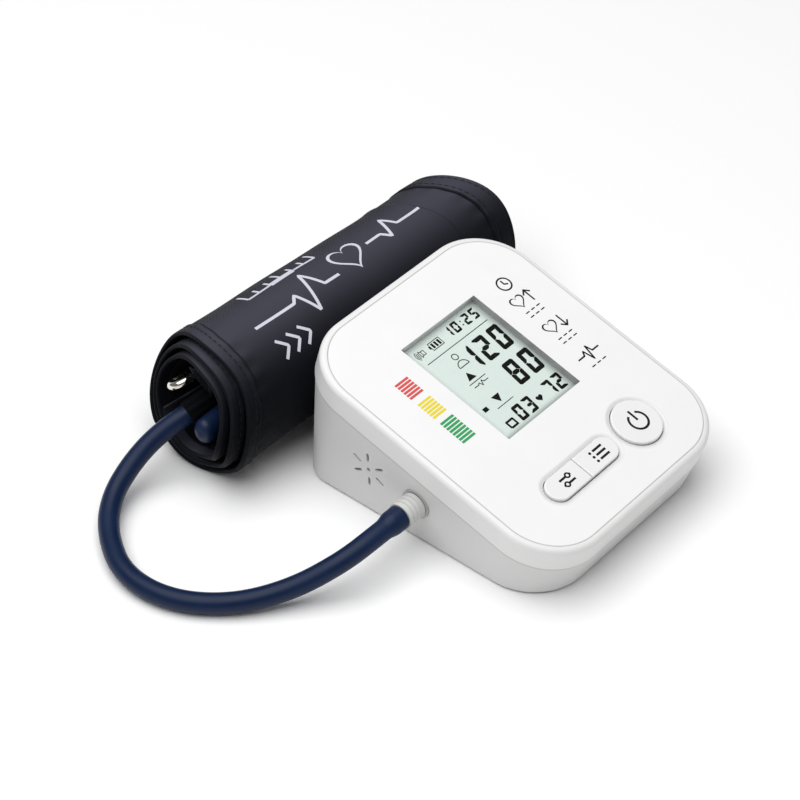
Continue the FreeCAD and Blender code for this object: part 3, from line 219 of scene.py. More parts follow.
def cell_jacket():
    """A printed film in two colours, with a step between them along y."""
    material, tree, surface = new_material("printed_film_cell_jacket")
    place = add(tree, "ShaderNodeTexCoord", out="Object")
    along = add(tree, "ShaderNodeSeparateXYZ", {"Vector": place}, out="Y")
    band = add(tree, "ShaderNodeMath", {0: along, 1: BAND_EDGE * MM}, operation="GREATER_THAN")
    wear = add(tree, "ShaderNodeTexNoise", {"Vector": place, "Scale": per_metre(2.5), "Detail": 4.0})
    tone = add(tree, "ShaderNodeMix", {0: band, 6: linear("#2E3A4A"), 7: linear("#C98B3C")}, **COLOURS)
    gloss = add(tree, "ShaderNodeMapRange", {"Value": wear, "To Min": 0.2, "To Max": 0.45})
    connect(tree, surface, {"Base Color": tone, "Metallic": 0.6, "Roughness": gloss})
    return material


board_green = lacquered_board()
jacket = cell_jacket()
print("inner patterns", board_green.name, jacket.name)

# %% [markdown]
# The face is a plane that leans back by about 15 degrees, 42 mm above the table at its middle. All that is
# printed on it is drawn flat, in millimetres to the right (u) and up the slope (v), and one function puts
# such points, with a height above the face, into the part's frame.

# %% The face's own frame
TILT = np.radians(15.37)
FACE_RISE, FACE_SETBACK = 42.0, 4.0


def on_face(points):
    """(u, v, h) to (x, y, z): a turn by the face's tilt about x, then a lift and a setback."""
    u, v, h = np.moveaxis(np.asarray(points, float), -1, 0)
    y = v * np.cos(TILT) - h * np.sin(TILT) - FACE_SETBACK
    z = v * np.sin(TILT) + h * np.cos(TILT) + FACE_RISE
    return np.stack([u, y, z], -1)


def face_axes(tree):
    """The same frame for a material: Object coordinates turned back by the tilt, so that Y is v + FACE_SHIFT."""
    place = add(tree, "ShaderNodeTexCoord", out="Object")
    flat = add(tree, "ShaderNodeMapping", {"Vector": place, "Rotation": (-TILT, 0.0, 0.0)})
    return add(tree, "ShaderNodeSeparateXYZ", {"Vector": flat}, out="all")


FACE_SHIFT = FACE_RISE * np.sin(TILT) - FACE_SETBACK * np.cos(TILT)
print("middle of the face is at", on_face([0, 0, 0]).round(1))

# %% [markdown]
# Round the keys the film sinks into a shallow dish, which catches less light. That shade is painted: the film's
# tone greys there by the distance to the key's outline: the distance to the middle line of a round-ended slot,
# less the slot's radius. A round key is a slot of no length.

# %% Painted shade in the dishes round the keys
# How far the painted shade reaches out from a key's outline, and its grey.
DISH_WIDTH, DISH_PAINTED_SHADE = 2.3, "#DADADA"


def paint_shade_where(material, share_of, colour):
    """Mixes a grey of painted shade into the base colour by a share from 0 to 1 that is worked out in the face's
    frame.
    """
    tree = material.node_tree
    base = tree.nodes["Principled BSDF"].inputs["Base Color"]
    tone = base.links[0].from_socket
    share = share_of(tree, face_axes(tree))
    greyed = add(tree, "ShaderNodeMix", {0: share, 6: tone, 7: linear(colour)}, **COLOURS)
    tree.links.new(greyed, base)


def share_by_reach(tree, offset, low, high, first, last):
    """A smooth step, from first to last, over the length of an offset in the face, from low to high in mm."""
    both = add(tree, "ShaderNodeCombineXYZ", offset)
    reach = add(tree, "ShaderNodeVectorMath", {0: both}, out="Value", operation="LENGTH")
    limits = {"From Min": low * MM, "From Max": high * MM, "To Min": first, "To Max": last}
    return add(tree, "ShaderNodeMapRange", {"Value": reach, **limits}, interpolation_type="SMOOTHSTEP")


def dish_shade(left, right, v, radius):
    """The share of painted shade by the distance to a slot's middle line: full at the slot's outline, none at the
    dish's edge.
    """
    def share_of(tree, axes):
        after = add(tree, "ShaderNodeMath", {0: axes["X"], 1: left * MM}, operation="MAXIMUM")
        nearest = add(tree, "ShaderNodeMath", {0: after, 1: right * MM}, operation="MINIMUM")
        across = add(tree, "ShaderNodeMath", {0: axes["X"], 1: nearest}, operation="SUBTRACT")
        along = add(tree, "ShaderNodeMath", {0: axes["Y"], 1: (v + FACE_SHIFT) * MM}, operation="SUBTRACT")
        return share_by_reach(tree, {"X": across, "Y": along}, radius, radius + DISH_WIDTH, 1.0, 0.0)

    return share_of


# Painted shade in the dish round the power key and round the slot of the two other keys.
paint_shade_where(film_white, dish_shade(22.6, 22.6, -39.8, 10.4), DISH_PAINTED_SHADE)
paint_shade_where(film_white, dish_shade(-24.35, 3.15, -39.8, 5.65), DISH_PAINTED_SHADE)
print("dishes in", film_white.name)

# %% [markdown]
# Two thin lines divide the shell: the gap round the face plate and the parting line under the rim. Both are
# dark because little light gets in. They are less than a millimetre wide, so a grey in the base colour is
# enough: it follows the distance to the plate's outline, and the depth below the face.

# %% Dividing lines
PLATE_HALF, PLATE_CORNER = {"X": 51.5, "Y": 61.05}, 22.0
PARTING_DEPTH = 10.3
# Where each line starts and ends, in mm inside the plate's outline and below the parting plane.
PLATE_LINE, RIM_LINE = (0.4, 0.2), (1.6, 0.8)


def plate_edge(tree, axes):
    """Distance from the rounded outline's inner box: the length of what u and v have beyond it."""
    beyond = {}
    for axis, middle in (("X", 0.0), ("Y", FACE_SHIFT)):
        offset = add(tree, "ShaderNodeMath", {0: axes[axis], 1: middle * MM}, operation="SUBTRACT")
        size = add(tree, "ShaderNodeMath", {0: offset}, operation="ABSOLUTE")
        inner = (PLATE_HALF[axis] - PLATE_CORNER) * MM
        over = add(tree, "ShaderNodeMath", {0: size, 1: inner}, operation="SUBTRACT")
        beyond[axis] = add(tree, "ShaderNodeMath", {0: over, 1: 0.0}, operation="MAXIMUM")
    return share_by_reach(tree, beyond, *(PLATE_CORNER - inside for inside in PLATE_LINE), 0.0, 1.0)


def under_rim(tree, axes):
    """Height along the face's normal, just below the plane where the two shells meet."""
    parting = FACE_RISE * np.cos(TILT) + FACE_SETBACK * np.sin(TILT) - PARTING_DEPTH
    low, high = ((parting - below) * MM for below in RIM_LINE)
    return add(tree, "ShaderNodeMapRange", {"Value": axes["Z"], "From Min": low, "From Max": high},
               interpolation_type="SMOOTHSTEP")


paint_shade_where(film_white, plate_edge, "#CDCDCD")
paint_shade_where(abs_grey, under_rim, "#CDCDCC")
print("lines in", film_white.name, "and", abs_grey.name)

# %% [markdown]
# The display is a sheet of liquid-crystal glass under a clear acrylic pane. Its back reflector is a pale
# mint grey. The pane is nearly invisible, but its rim sits in the frame's shade and looks darker, most at the
# low side and least at the top. That shade is painted on the pane as a dark cover that grows towards each of
# the window's four sides.

# %% Display glass and window
WINDOW = {"left": -21.1, "right": 21.1, "low": -13.65, "high": 39.45}
GLASS_LEVEL = -3.5
PANE_COVER = 0.03
# Axis, side, reach inwards and cover of painted shade at that side.
PANE_SHADES = (("X", WINDOW["right"], -4.5, 0.22), ("X", WINDOW["left"], 2.2, 0.15),
               ("Y", WINDOW["low"] + FACE_SHIFT, 3.0, 0.3), ("Y", WINDOW["high"] + FACE_SHIFT, -3.6, 0.06))


def display_glass():
    """Mint grey, faintly frosted."""
    material, tree, surface = new_material("lcd_glass_mint")
    place = add(tree, "ShaderNodeTexCoord", out="Object")
    frost = add(tree, "ShaderNodeTexNoise", {"Vector": place, "Scale": per_metre(1.2), "Detail": 2.0})
    tone = add(tree, "ShaderNodeMix", {0: frost, 6: linear("#E6F4EE"), 7: linear("#EBF7F2")}, **COLOURS)
    connect(tree, surface, {"Base Color": tone, "Roughness": 0.55, "IOR": 1.52})
    return material


def clear_pane():
    """Acrylic with a dark cover: a little tint in the middle, and smoothly more over a few mm at each side as
    painted shade.
    """
    material, tree, surface = new_material("pmma_clear_pane")
    place = add(tree, "ShaderNodeTexCoord", out="Object")
    axes = face_axes(tree)
    cover = PANE_COVER
    # At each side the cover grows into the painted shade of the window's frame.
    for axis, edge, reach, shade_cover in PANE_SHADES:
        painted_shade = add(tree, "ShaderNodeMapRange", {
            "Value": axes[axis], "From Min": edge * MM, "From Max": (edge + reach) * MM,
            "To Min": shade_cover, "To Max": PANE_COVER}, interpolation_type="SMOOTHSTEP")
        cover = add(tree, "ShaderNodeMath", {0: cover, 1: painted_shade}, operation="MAXIMUM")
    haze = add(tree, "ShaderNodeTexNoise", {"Vector": place, "Scale": per_metre(9.0), "Detail": 2.0})
    gloss = add(tree, "ShaderNodeMapRange", {"Value": haze, "To Min": 0.04, "To Max": 0.12})
    connect(tree, surface, {"Base Color": linear("#141716"), "Roughness": gloss, "IOR": 1.49,
                            "Specular IOR Level": 0.25, "Alpha": cover})
    return material


glass_mint = display_glass()
pmma_clear = clear_pane()
print("display materials", glass_mint.name, pmma_clear.name)

# %% [markdown]
# Each rigid node keeps its CAD shape, so all that it needs is its finish in its material slot. One table says
# which nodes share a finish, and a loop puts it there.

# %% Finishes of the CAD nodes
FINISHES = {
    abs_white: ["upper_case"],
    abs_grey: ["lower_case", "battery_cover"],
    film_white: ["face_plate"],
    key_white: ["power_key", "set_key", "memory_key"],
    pmma_clear: ["lcd_window"],
    glass_mint: ["lcd_glass"],
    abs_inner: ["lcd_holder", "tact_switches", "power_switch_plunger", "set_switch_plunger",
                "memory_switch_plunger", "air_manifold", "pressure_sensor", "pump_head"],
    nitrile: ["zebra_strip", "rubber_pads", "plug_seal"],
    board_green: ["main_board"],
    nickel: ["board_screws", "battery_springs", "battery_contacts", "case_screws", "release_valve"],
    jacket: ["battery_cells"],
    drawn_steel: ["speaker", "pump_motor"],
    abs_socket: ["air_socket"],
    pom_plug: ["hose_plug"],
    silicone: ["air_tubes"],
    chrome: ["cuff_ring"],
}
for finish, names in FINISHES.items():
    for name in names:
        for slot in nodes[name].material_slots:
            slot.material = finish
print("finished nodes", sum(len(names) for names in FINISHES.values()), "of", len(nodes))

# %% [markdown]
# New pieces are grids of points in millimetres. A closed surface must face outwards, and the sign of its
# volume tells whether it does, so the helper that makes the object turns it when the sign is wrong.

# %% Meshes from arrays
def put_mesh(name, points, faces, material, body, texture=None):
    """An object from points in mm and lists of corners, facing outwards, with one UV pair per point."""
    mesh = bpy.data.meshes.new(name)
    mesh.from_pydata((np.reshape(points, (-1, 3)) * MM).tolist(), [], faces)
    mesh.materials.append(material)
    mesh.shade_smooth()
    shell = bmesh.new()
    shell.from_mesh(mesh)
    volume = shell.calc_volume(signed=True)
    shell.free()
    if volume < 0:
        mesh.flip_normals()
    if texture is not None:
        corners = np.empty(len(mesh.loops), np.int32)
        mesh.loops.foreach_get("vertex_index", corners)
        layer = mesh.uv_layers.new(name="cloth_mm")
        layer.data.foreach_set("uv", np.reshape(texture, (-1, 2))[corners].astype(np.float32).ravel())
    piece = bpy.data.objects.new(name, mesh)
    scene.collection.objects.link(piece)
    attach(piece, body)
    print(name, len(mesh.polygons), "faces", round(abs(volume) * 1e9, 1), "mm3")
    return piece


def grid_faces(rows, columns, closed_rows=False, start=0):
    """Quads between neighbouring points of a grid whose rows are rings, and which may close the other way too."""
    i = np.arange(rows if closed_rows else rows - 1)[:, None]
    j = np.arange(columns)[None]
    down, right = (i + 1) % rows, (j + 1) % columns
    quads = np.stack([i * columns + j, i * columns + right, down * columns + right, down * columns + j], -1)
    return (quads.reshape(-1, 4) + start).tolist()


def swept(sections, closed=False, start=0):
    """Faces of a tube: a grid of sections along a path, with a cap on each end when the path is open."""
    rows, columns = sections.shape[:2]
    faces = grid_faces(rows, columns, closed_rows=closed, start=start)
    if not closed:
        first = np.arange(columns) + start
        faces += [first[::-1].tolist(), (first + (rows - 1) * columns).tolist()]
    return faces


print("a tube of 4 sections with 3 points each has", len(swept(np.zeros((4, 3, 3)))), "faces")

# %% [markdown]
# The lower shell's wall leans out to tighter corners at the back of its base than the CAD solid has. A thin
# skin over the CAD wall brings them out. It is a ruled surface: straight lines run from the parting edge under
# the rim down to the base's outline, and an underside and a hidden inner face close it. It rises out of the
# flat side wall over 4 mm, by less than a tenth of a millimetre, so that no seam shows.

# %% Back corners of the lower shell
PARTING = {"half": 53.7, "back": 63.7, "corner": 24.2, "start": 39.5, "power": 1.5}
CAD_BASE = {"half": 51.4, "back": 58.0, "corner": 22.0, "start": 36.0}
BASE = {**CAD_BASE, "back": 59.5, "corner": 14.0}
FOOT_ROUND, RUN_IN = 1.2, 4.0
SUNK, PROUD = -0.04, 0.03
steps = np.concatenate([np.linspace(-1, 0, 5)[:-1], np.linspace(0, 1, 41)[:-1], np.linspace(1, 2, 7)])


def back_half(level, grow, half, back, corner, start, power=1.0):
    """Half an outline: a run-in (steps -1 to 0), a side and a quarter turn (to 1), half of the back (to 2)."""
    side = back - corner - start
    half, corner = half + grow, corner + grow
    way = np.clip(steps, 0, 1) ** power * (side + corner * np.pi / 2)
    straight = np.minimum(way, side)
    turn = (way - straight) / corner
    x = corner * (1 - np.cos(turn)) - half + (half - corner) * np.clip(steps - 1, 0, 1)
    y = start + RUN_IN * np.clip(steps, -1, 0) + straight + corner * np.sin(turn)
    return np.stack([x, y, np.full_like(x, level)], -1)


rise = SUNK + (PROUD - SUNK) * np.clip(steps + 1, 0, 1)
brim, brim_inside = (on_face(back_half(-PARTING_DEPTH, grow, **PARTING)) for grow in (rise, -0.6))
down = np.linspace(0, 1, 9)[:, None, None]
wall = brim * (1 - down) + back_half(FOOT_ROUND, rise, **BASE) * down
foot = back_half(0.0, rise - FOOT_ROUND, **BASE)
hidden_foot = back_half(0.05, -0.5 - FOOT_ROUND, **CAD_BASE)
left_half = np.moveaxis(np.concatenate([wall, np.stack([foot, hidden_foot, brim_inside])]), 0, 1)
skin = np.concatenate([left_half, left_half[-2::-1] * (-1, 1, 1)])
lower_back = put_mesh("lower_case_back", skin, swept(skin), abs_grey, "monitor")
lower_back.data.set_sharp_from_angle(angle=np.radians(25))

# %% [markdown]
# The hose leaves its plug on the left, dips to the table, swings round and rises into the hollow of the cuff.
# It is one smooth NURBS line that the route's points steer, with a round bevel, as a real hose is one extrusion.
# The bare line is read back as points before it gets its bevel, for the pieces that sit on the hose.

# %% Hose
HOSE_ROUTE = [
    (-62.0, -0.3, 19.1), (-76.0, -0.3, 19.1), (-89.5, 3.2, 14.6), (-106.0, 12.8, 7.2),
    (-123.5, 26.2, 4.05), (-136.0, 44.5, 4.05), (-137.4, 66.2, 4.05), (-126.6, 85.0, 4.6),
    (-114.0, 95.6, 6.8), (-100.2, 99.2, 11.4), (-87.0, 98.0, 18.0), (-73.5, 92.4, 24.5),
    (-60.0, 90.0, 27.0), (-48.0, 90.0, 27.0),
]
HOSE_RADIUS = 4.0
line = bpy.data.curves.new("hose", "CURVE")
line.dimensions = "3D"
spline = line.splines.new("NURBS")
spline.points.add(len(HOSE_ROUTE) - 1)
route = np.c_[np.array(HOSE_ROUTE) * MM, np.ones(len(HOSE_ROUTE))]
spline.points.foreach_set("co", route.ravel())
spline.order_u = 3
spline.use_endpoint_u = True
spline.resolution_u = 16
hose = bpy.data.objects.new("hose", line)
scene.collection.objects.link(hose)
bare_line = bpy.data.meshes.new_from_object(hose)
middle_line = np.empty(3 * len(bare_line.vertices))
bare_line.vertices.foreach_get("co", middle_line)
middle_line = middle_line.reshape(-1, 3) / MM
bpy.data.meshes.remove(bare_line)
line.bevel_depth = HOSE_RADIUS * MM
line.bevel_resolution = 8
line.use_fill_caps = True
line.materials.append(pvc_hose)
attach(hose, "cuff_set")
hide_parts("air_hose")
print("hose points", len(spline.points), "order", spline.order_u, "read back as", len(middle_line))

# %% [markdown]
# Pushed over the plug's barb, the hose swells near its end. That swelling is a circle carried along the first
# 9.5 mm of the hose's own line, with a radius that eases back to the hose's.

# %% Swollen end of the hose
def tube_along(path, radii, sides=40):
    """Circles square to a path: the tangent crossed with z gives the first axis, and crossed again the second."""
    forward = np.gradient(path, axis=0)
    forward /= np.linalg.norm(forward, axis=1, keepdims=True)
    aside = np.cross(forward, [0.0, 0.0, 1.0])
    aside /= np.linalg.norm(aside, axis=1, keepdims=True)
    above = np.cross(aside, forward)
    turn = np.linspace(0, 2 * np.pi, sides, endpoint=False)[None, :, None]
    around = np.cos(turn) * aside[:, None] + np.sin(turn) * above[:, None]
    return path[:, None] + np.asarray(radii)[:, None, None] * around


def run_along(path):
    """Millimetres from a path's start to each of its points."""
    return np.concatenate([[0.0], np.cumsum(np.linalg.norm(np.diff(path, axis=0), axis=1))])


def points_at(values, run, at):
    """What each column of values holds at the given distances along a run."""
    return np.stack([np.interp(at, run, column) for column in values.T], -1)


def stretch(first, last, count):
    """Points of the hose's line between two distances along it, in mm; one below zero counts from its end."""
    run = run_along(middle_line)
    return points_at(middle_line, run, np.linspace(first % run[-1], last % run[-1], count))


def smooth(share):
    """The smooth step 3 s^2 - 2 s^3 of a share from 0 to 1."""
    return share ** 2 * (3 - 2 * share)


SWELLING, SWELL_LENGTH, SWELL_ROWS = 0.85, 9.5, 30
BARB_LENGTH, EASE_LENGTH, SUNK_IN, ROUNDED = 4.2, 5.0, 0.03, 0.25
ease = np.clip((np.linspace(0.0, SWELL_LENGTH, SWELL_ROWS) - BARB_LENGTH) / EASE_LENGTH, 0, 1)
swell = HOSE_RADIUS - SUNK_IN + SWELLING * (1 - smooth(ease))
swell[0] -= ROUNDED
sections = tube_along(stretch(0.0, SWELL_LENGTH, SWELL_ROWS), swell)
hose_end = put_mesh("hose_end", sections, swept(sections), pvc_hose, "cuff_set")

# %% [markdown]
# Print on the face and the display is ink a few hundredths of a millimetre thick. Each mark is a stroke, which is
# a narrow bar carried along a path, a band, which is such a bar inside an outline, or a patch, which is a filled
# outline. They are drawn flat and then placed, so the same functions serve the face, the keys, the display and
# the cuff.

# %% Strokes and patches of ink
BAR_LEVELS, PATCH_LEVELS = [1.0, 1.0, 0.0, 0.0], [[0.0], [1.0]]


def levelled(flat, levels):
    """Adds each point's level: 0 at the foot of the ink and 1 on top."""
    return np.concatenate([flat, np.broadcast_to(levels, flat.shape[:2])[..., None]], -1)


def stroke(path, width, closed=False):
    """A bar's four edges: the path moved half a width to each side along its normal, at two levels."""
    path = np.asarray(path, float)
    if closed:
        tangent = np.roll(path, -1, 0) - np.roll(path, 1, 0)
    else:
        tangent = np.gradient(path, axis=0)
    tangent /= np.linalg.norm(tangent, axis=1, keepdims=True)
    side = np.stack([-tangent[:, 1], tangent[:, 0]], -1) * width / 2
    flat = np.stack([path + side, path - side, path - side, path + side], 1)
    return levelled(flat, BAR_LEVELS), closed


def leftward(outline):
    """The outline in the order that has its inside on the left, by the sign of its area, so that it faces up."""
    u, v = np.asarray(outline, float).T
    area = u @ np.roll(v, -1) - v @ np.roll(u, -1)
    return np.stack([u, v], -1)[::1 if area > 0 else -1]


def band(outline, width):
    """A closed line of that width inside an outline: the outline and a smaller copy about the same middle."""
    outline = leftward(outline)
    middle = outline.mean(0)
    reach = 0.5 * np.ptp(outline, axis=0).max()
    inner = middle + (outline - middle) * (1 - width / reach)
    flat = np.stack([inner, outline, outline, inner], 1)
    return levelled(flat, BAR_LEVELS), True


def patch(outline):
    """A filled outline as two rings of points, the lower and the upper one."""
    return levelled(np.stack([leftward(outline)] * 2), PATCH_LEVELS), False


def print_ink(name, marks, low, high, place, material, body, slot):
    """Joins marks into one mesh, with their levels 0 and 1 put at the heights low and high."""
    points, faces, count = [], [], 0
    for grid, closed in marks:
        raised = grid.copy()
        raised[..., 2] = low + (high - low) * grid[..., 2]
        faces += swept(raised, closed, count)
        points.append(place(raised).reshape(-1, 3))
        count += grid.shape[0] * grid.shape[1]
    put_mesh(name, np.concatenate(points), faces, material, body).data.shade_flat()


def arc(radius, first, last, centre=(0, 0), count=48):
    """Points of a circle between two angles in degrees."""
    turn = np.radians(np.linspace(first, last, count))
    return np.stack([centre[0] + radius * np.cos(turn), centre[1] + radius * np.sin(turn)], -1)


def ring(radius, centre=(0, 0), count=48):
    """A whole circle, for a closed stroke."""
    return arc(radius, 0, 360 - 360 / count, centre, count)


def polyline(*corners):
    """Straight runs between corners, with points close to each corner so that a stroke keeps its width."""
    corners = np.array(corners, float)
    share = np.array([0.0, 0.02, 0.98])[None, :, None]
    runs = corners[:-1, None] * (1 - share) + corners[1:, None] * share
    return np.concatenate([runs.reshape(-1, 2), corners[-1:]])


def box(u, v, width, height):
    """The four corners of an upright rectangle about a middle."""
    return np.array([(u - width / 2, v - height / 2), (u + width / 2, v - height / 2),
                     (u + width / 2, v + height / 2), (u - width / 2, v + height / 2)])


def heart(u, v, size, count=40):
    """The sine-and-cosine heart curve, 16 sin^3 t across and 13 cos t - 5 cos 2t - 2 cos 3t - cos 4t up."""
    t = (np.arange(count) + 0.5) * 2 * np.pi / count
    across = 16 * np.sin(t) ** 3
    up = 13 * np.cos(t) - 5 * np.cos(2 * t) - 2 * np.cos(3 * t) - np.cos(4 * t)
    return np.stack([u + across * size / 32, v + (up + 2.5) * size / 32], -1)


# Ink is pigment in a varnish: a matt film, faintly uneven where it was pressed on.
MATT = {"Specular IOR Level": 0.15}
ink_black = moulded("pad_print_ink_black", "#1C1C1D", "#161617", 0.5, 0.08, 0.3, 0.002, **MATT)
ink_liquid = moulded("liquid_crystal_black", "#0B0E0D", "#080A0A", 0.5, 0.05, 0.5, 0.0, **MATT)
print("inks", ink_black.name, ink_liquid.name)

# %% [markdown]
# The three blocks of bars at the left of the display rate a reading: green is low, yellow raised, red high.
# Each bar is a patch of ink. A block is given by its two ends and its number of bars, so the bars' height follows.

# %% Rating bars
FACE_INK = -0.02, 0.04
BAR_MIDDLE, BAR_WIDTH, BAR_GAP = -32.25, 7.0, 0.45
# Two tones of the ink, the block's high and low end, and its number of bars.
RATINGS = {"red": ("#DE5350", "#D64A48", 29.8, 21.45, 6), "yellow": ("#F2DF2E", "#EBD623", 18.5, 10.15, 6),
           "green": ("#2FA862", "#289C58", 7.5, -4.1, 8)}


def bars(high, low, count):
    """Equal bars that fill the run from high to low, with equal gaps."""
    height = (high - low - BAR_GAP * (count - 1)) / count
    middles = high - height / 2 - np.arange(count) * (height + BAR_GAP)
    return [patch(box(BAR_MIDDLE, v, BAR_WIDTH, height)) for v in middles]


for name, (colour, shade, *run) in RATINGS.items():
    ink = moulded("pad_print_ink_" + name, colour, shade, 0.5, 0.08, 0.3, 0.002)
    print_ink("bars_" + name, bars(*run), *FACE_INK, on_face, ink, "monitor", "plate_white")

# %% [markdown]
# At the right of the display, one small sign stands beside each row of figures: a clock for the time, a
# filling and a resting heart for the two pressures, and a beat for the pulse.

# %% Signs beside the display
INK_LINE, DASH_LINE = 0.68, 0.5


def beat(u, v, width, height):
    """A flat line with one sharp beat in its middle, from shares of the width and height."""
    shares = np.array([(-0.5, 0), (-0.2, 0), (-0.1, 0.3), (0.0, -0.5), (0.12, 0.5), (0.2, 0), (0.5, 0)])
    return polyline(*(shares * (width, height) + (u, v)))


def arrow(u, v, height, way):
    """A shaft and a two-sided head that points up the slope or down it."""
    tip = (u, v + way * height / 2)
    barb = height * 0.32
    return [stroke(polyline((u, v - way * height / 2), tip), INK_LINE),
            stroke(polyline((u - barb, tip[1] - way * barb), tip, (u + barb, tip[1] - way * barb)), INK_LINE)]


signs = [stroke(ring(3.0, (34.8, 35.6)), INK_LINE, True),
         stroke(polyline((34.8, 37.6), (34.8, 35.6), (36.3, 34.8)), INK_LINE)]
signs += [band(heart(32.4, 26.0, 7.0), INK_LINE), *arrow(38.4, 26.0, 6.0, 1)]
signs += [band(heart(32.8, 9.9, 7.0), INK_LINE), *arrow(38.8, 9.9, 6.0, -1)]
signs += [stroke(beat(34.3, -7.1, 12.0, 6.4), INK_LINE)]
# Short dashes under the signs stand for the unit.
for v in (20.6, 18.2, 4.4, 2.0, -12.4):
    signs += [stroke(polyline((u, v), (u + 2.0, v)), DASH_LINE) for u in (30.2, 33.3, 36.4)]
print_ink("face_signs", signs, *FACE_INK, on_face, ink_black, "monitor", "plate_white")

# %% [markdown]
# The keys carry their sign on top, 0.9 mm above the face: the usual ring and bar for power, two sliders for
# the settings and a list for the stored readings. Each sign rides on its own key, so it sinks with it.

# %% Signs on the keys
KEY_TOP, KEY_LINE = 0.9, 0.95
key_signs = {"power": [stroke(arc(3.9, 118, 422, (23.3, -39.9)), KEY_LINE),
                       stroke(polyline((23.3, -34.6), (23.3, -39.6)), KEY_LINE)],
             "slider": [], "list": []}
for v, knob in ((-38.3, -17.6), (-41.0, -20.6)):
    key_signs["slider"] += [stroke(polyline((-22.2, v), (knob - 0.9, v)), 0.9),
                            stroke(polyline((knob + 0.9, v), (-16.0, v)), 0.9),
                            stroke(ring(0.95, (knob, v), 32), 0.7, True)]
for v in (-37.6, -39.7, -41.8):
    key_signs["list"] += [patch(ring(0.6, (-3.4, v), 20)), stroke(polyline((-1.9, v), (3.2, v)), KEY_LINE)]
for (sign, marks), key in zip(key_signs.items(), ("power", "set", "memory")):
    print_ink(sign + "_sign", marks, *(KEY_TOP + level for level in FACE_INK), on_face, ink_black,
              key + "_key_unit", "key_white")

# %% [markdown]
# The display's figures are seven-segment digits. Each segment is a bar with mitred ends, a little apart from
# the next, and the whole digit leans slightly. The figures are an ordinary healthy reading. They lie on the
# glass, below the window, so the drawing is a little smaller than the window and set off to its upper right.

# %% Figures of the display
LIT = {"0": "abcdef", "1": "bc", "2": "abged", "3": "abgcd", "4": "fgbc", "5": "afgcd", "6": "afgedc",
       "7": "abc", "8": "abcdefg", "9": "abcdfg"}
LEAN = 0.095
DRAWN_SIZE, DRAWN_AT = np.array((0.96, 0.98, 1.0)), np.array((1.55, 1.2, 0.0))
GLASS_INK = GLASS_LEVEL, GLASS_LEVEL + 0.05
# Width, height, line and gap of a digit.
LARGE, MEDIUM, SMALL = (6.2, 11.4, 1.95, 0.12), (4.4, 7.2, 1.35, 0.1), (3.2, 5.1, 1.0, 0.08)
NARROW = (4.3, *MEDIUM[1:])
# Figures, left and low side of the first one, step to the next, and size.
READING = [("120", -5.75, 14.7, 8.75, LARGE), ("80", 3.3, -0.5, 8.95, LARGE), ("72", 8.6, -12.0, 5.75, MEDIUM),
           ("03", -9.6, -12.0, 5.7, NARROW), ("10", -1.2, 32.0, 4.55, SMALL), ("25", 9.9, 32.0, 4.45, SMALL)]


def digit(figure, left, low, width, height, line, gap):
    """The lit segments' outlines: a mitred bar at the top and one at the upper right, their mirror images, and a
    pointed bar across the middle, all sheared."""
    w, h, t, g, c = width, height, line, gap, 0.3 * line
    m = h / 2
    top = np.array([(g + c, h), (w - g - c, h), (w - g, h - c), (w - t - g, h - t), (t + g, h - t), (g, h - c)])
    side = np.array([(w, h - g - c), (w, m + g), (w - t / 2, m + g / 2), (w - t, m + t / 2 + g),
                     (w - t, h - t - g), (w - c, h - g)])
    across = np.array([(t / 2 + g, m), (t + g, m + t / 2), (w - t - g, m + t / 2), (w - t / 2 - g, m),
                       (w - t - g, m - t / 2), (t + g, m - t / 2)])
    outlines = {"a": top, "b": side, "c": side * (1, -1) + (0, h), "d": top * (1, -1) + (0, h),
                "e": (w, h) - side, "f": side * (-1, 1) + (w, 0), "g": across}
    shapes = np.array([outlines[s] for s in LIT[figure]])
    shapes[..., 0] += LEAN * shapes[..., 1] + left
    shapes[..., 1] += low
    return [patch(shape) for shape in shapes]


def on_glass(points):
    """The display's own drawing, sized and set off on the face."""
    return on_face(points * DRAWN_SIZE + DRAWN_AT)


figures = [mark for numerals, left, low, step, size in READING for i, numeral in enumerate(numerals)
           for mark in digit(numeral, left + i * step, low, *size)]
print_ink("display_figures", figures, *GLASS_INK, on_glass, ink_liquid, "monitor", "lcd_glass")

# %% [markdown]
# Round the figures the glass shows small signs, as every such display does: a loudspeaker and a battery beside
# the time, a rule under it, the person's sign, two triangles for the upper and lower pressure, a heart and a
# page.

# %% Signs of the display
FINE_LINE, RULE_LINE = 0.3, 0.32


def border(left, low, right, high):
    """The closed line round an upright rectangle."""
    return polyline((left, low), (right, low), (right, high), (left, high), (left, low))


symbols = [patch(box(0.05, 29.05, 36.2, RULE_LINE)),
           patch(box(8.55, 33.4, 0.6, 0.6)), patch(box(8.7, 35.3, 0.6, 0.6))]
symbols += [patch(box(-9.2 + 1.75 * i, 34.0, 1.05, 2.5)) for i in range(3)]
symbols += [stroke(border(-10.6, 32.2, -4.4, 35.8), FINE_LINE), patch(box(-11.1, 34.0, 0.6, 1.5))]
symbols += [stroke(border(-15.6, 33.1, -14.2, 35.2), FINE_LINE),
            stroke(polyline((-15.6, 33.3), (-16.6, 32.6), (-16.6, 35.7), (-15.6, 35.0)), FINE_LINE),
            *[stroke(arc(r, 130, 230, (-16.2, 34.15)), FINE_LINE) for r in (1.3, 2.0, 2.7)]]
symbols += [stroke(ring(1.35, (-6.6, 25.0), 32), 0.38, True),
            stroke(np.r_[arc(2.7, 0, 180, (-6.6, 19.9)), arc(2.7, 180, 180.1, (-6.6, 19.9), 2)], 0.38),
            stroke(polyline((-9.3, 19.9), (-3.9, 19.9)), 0.38)]
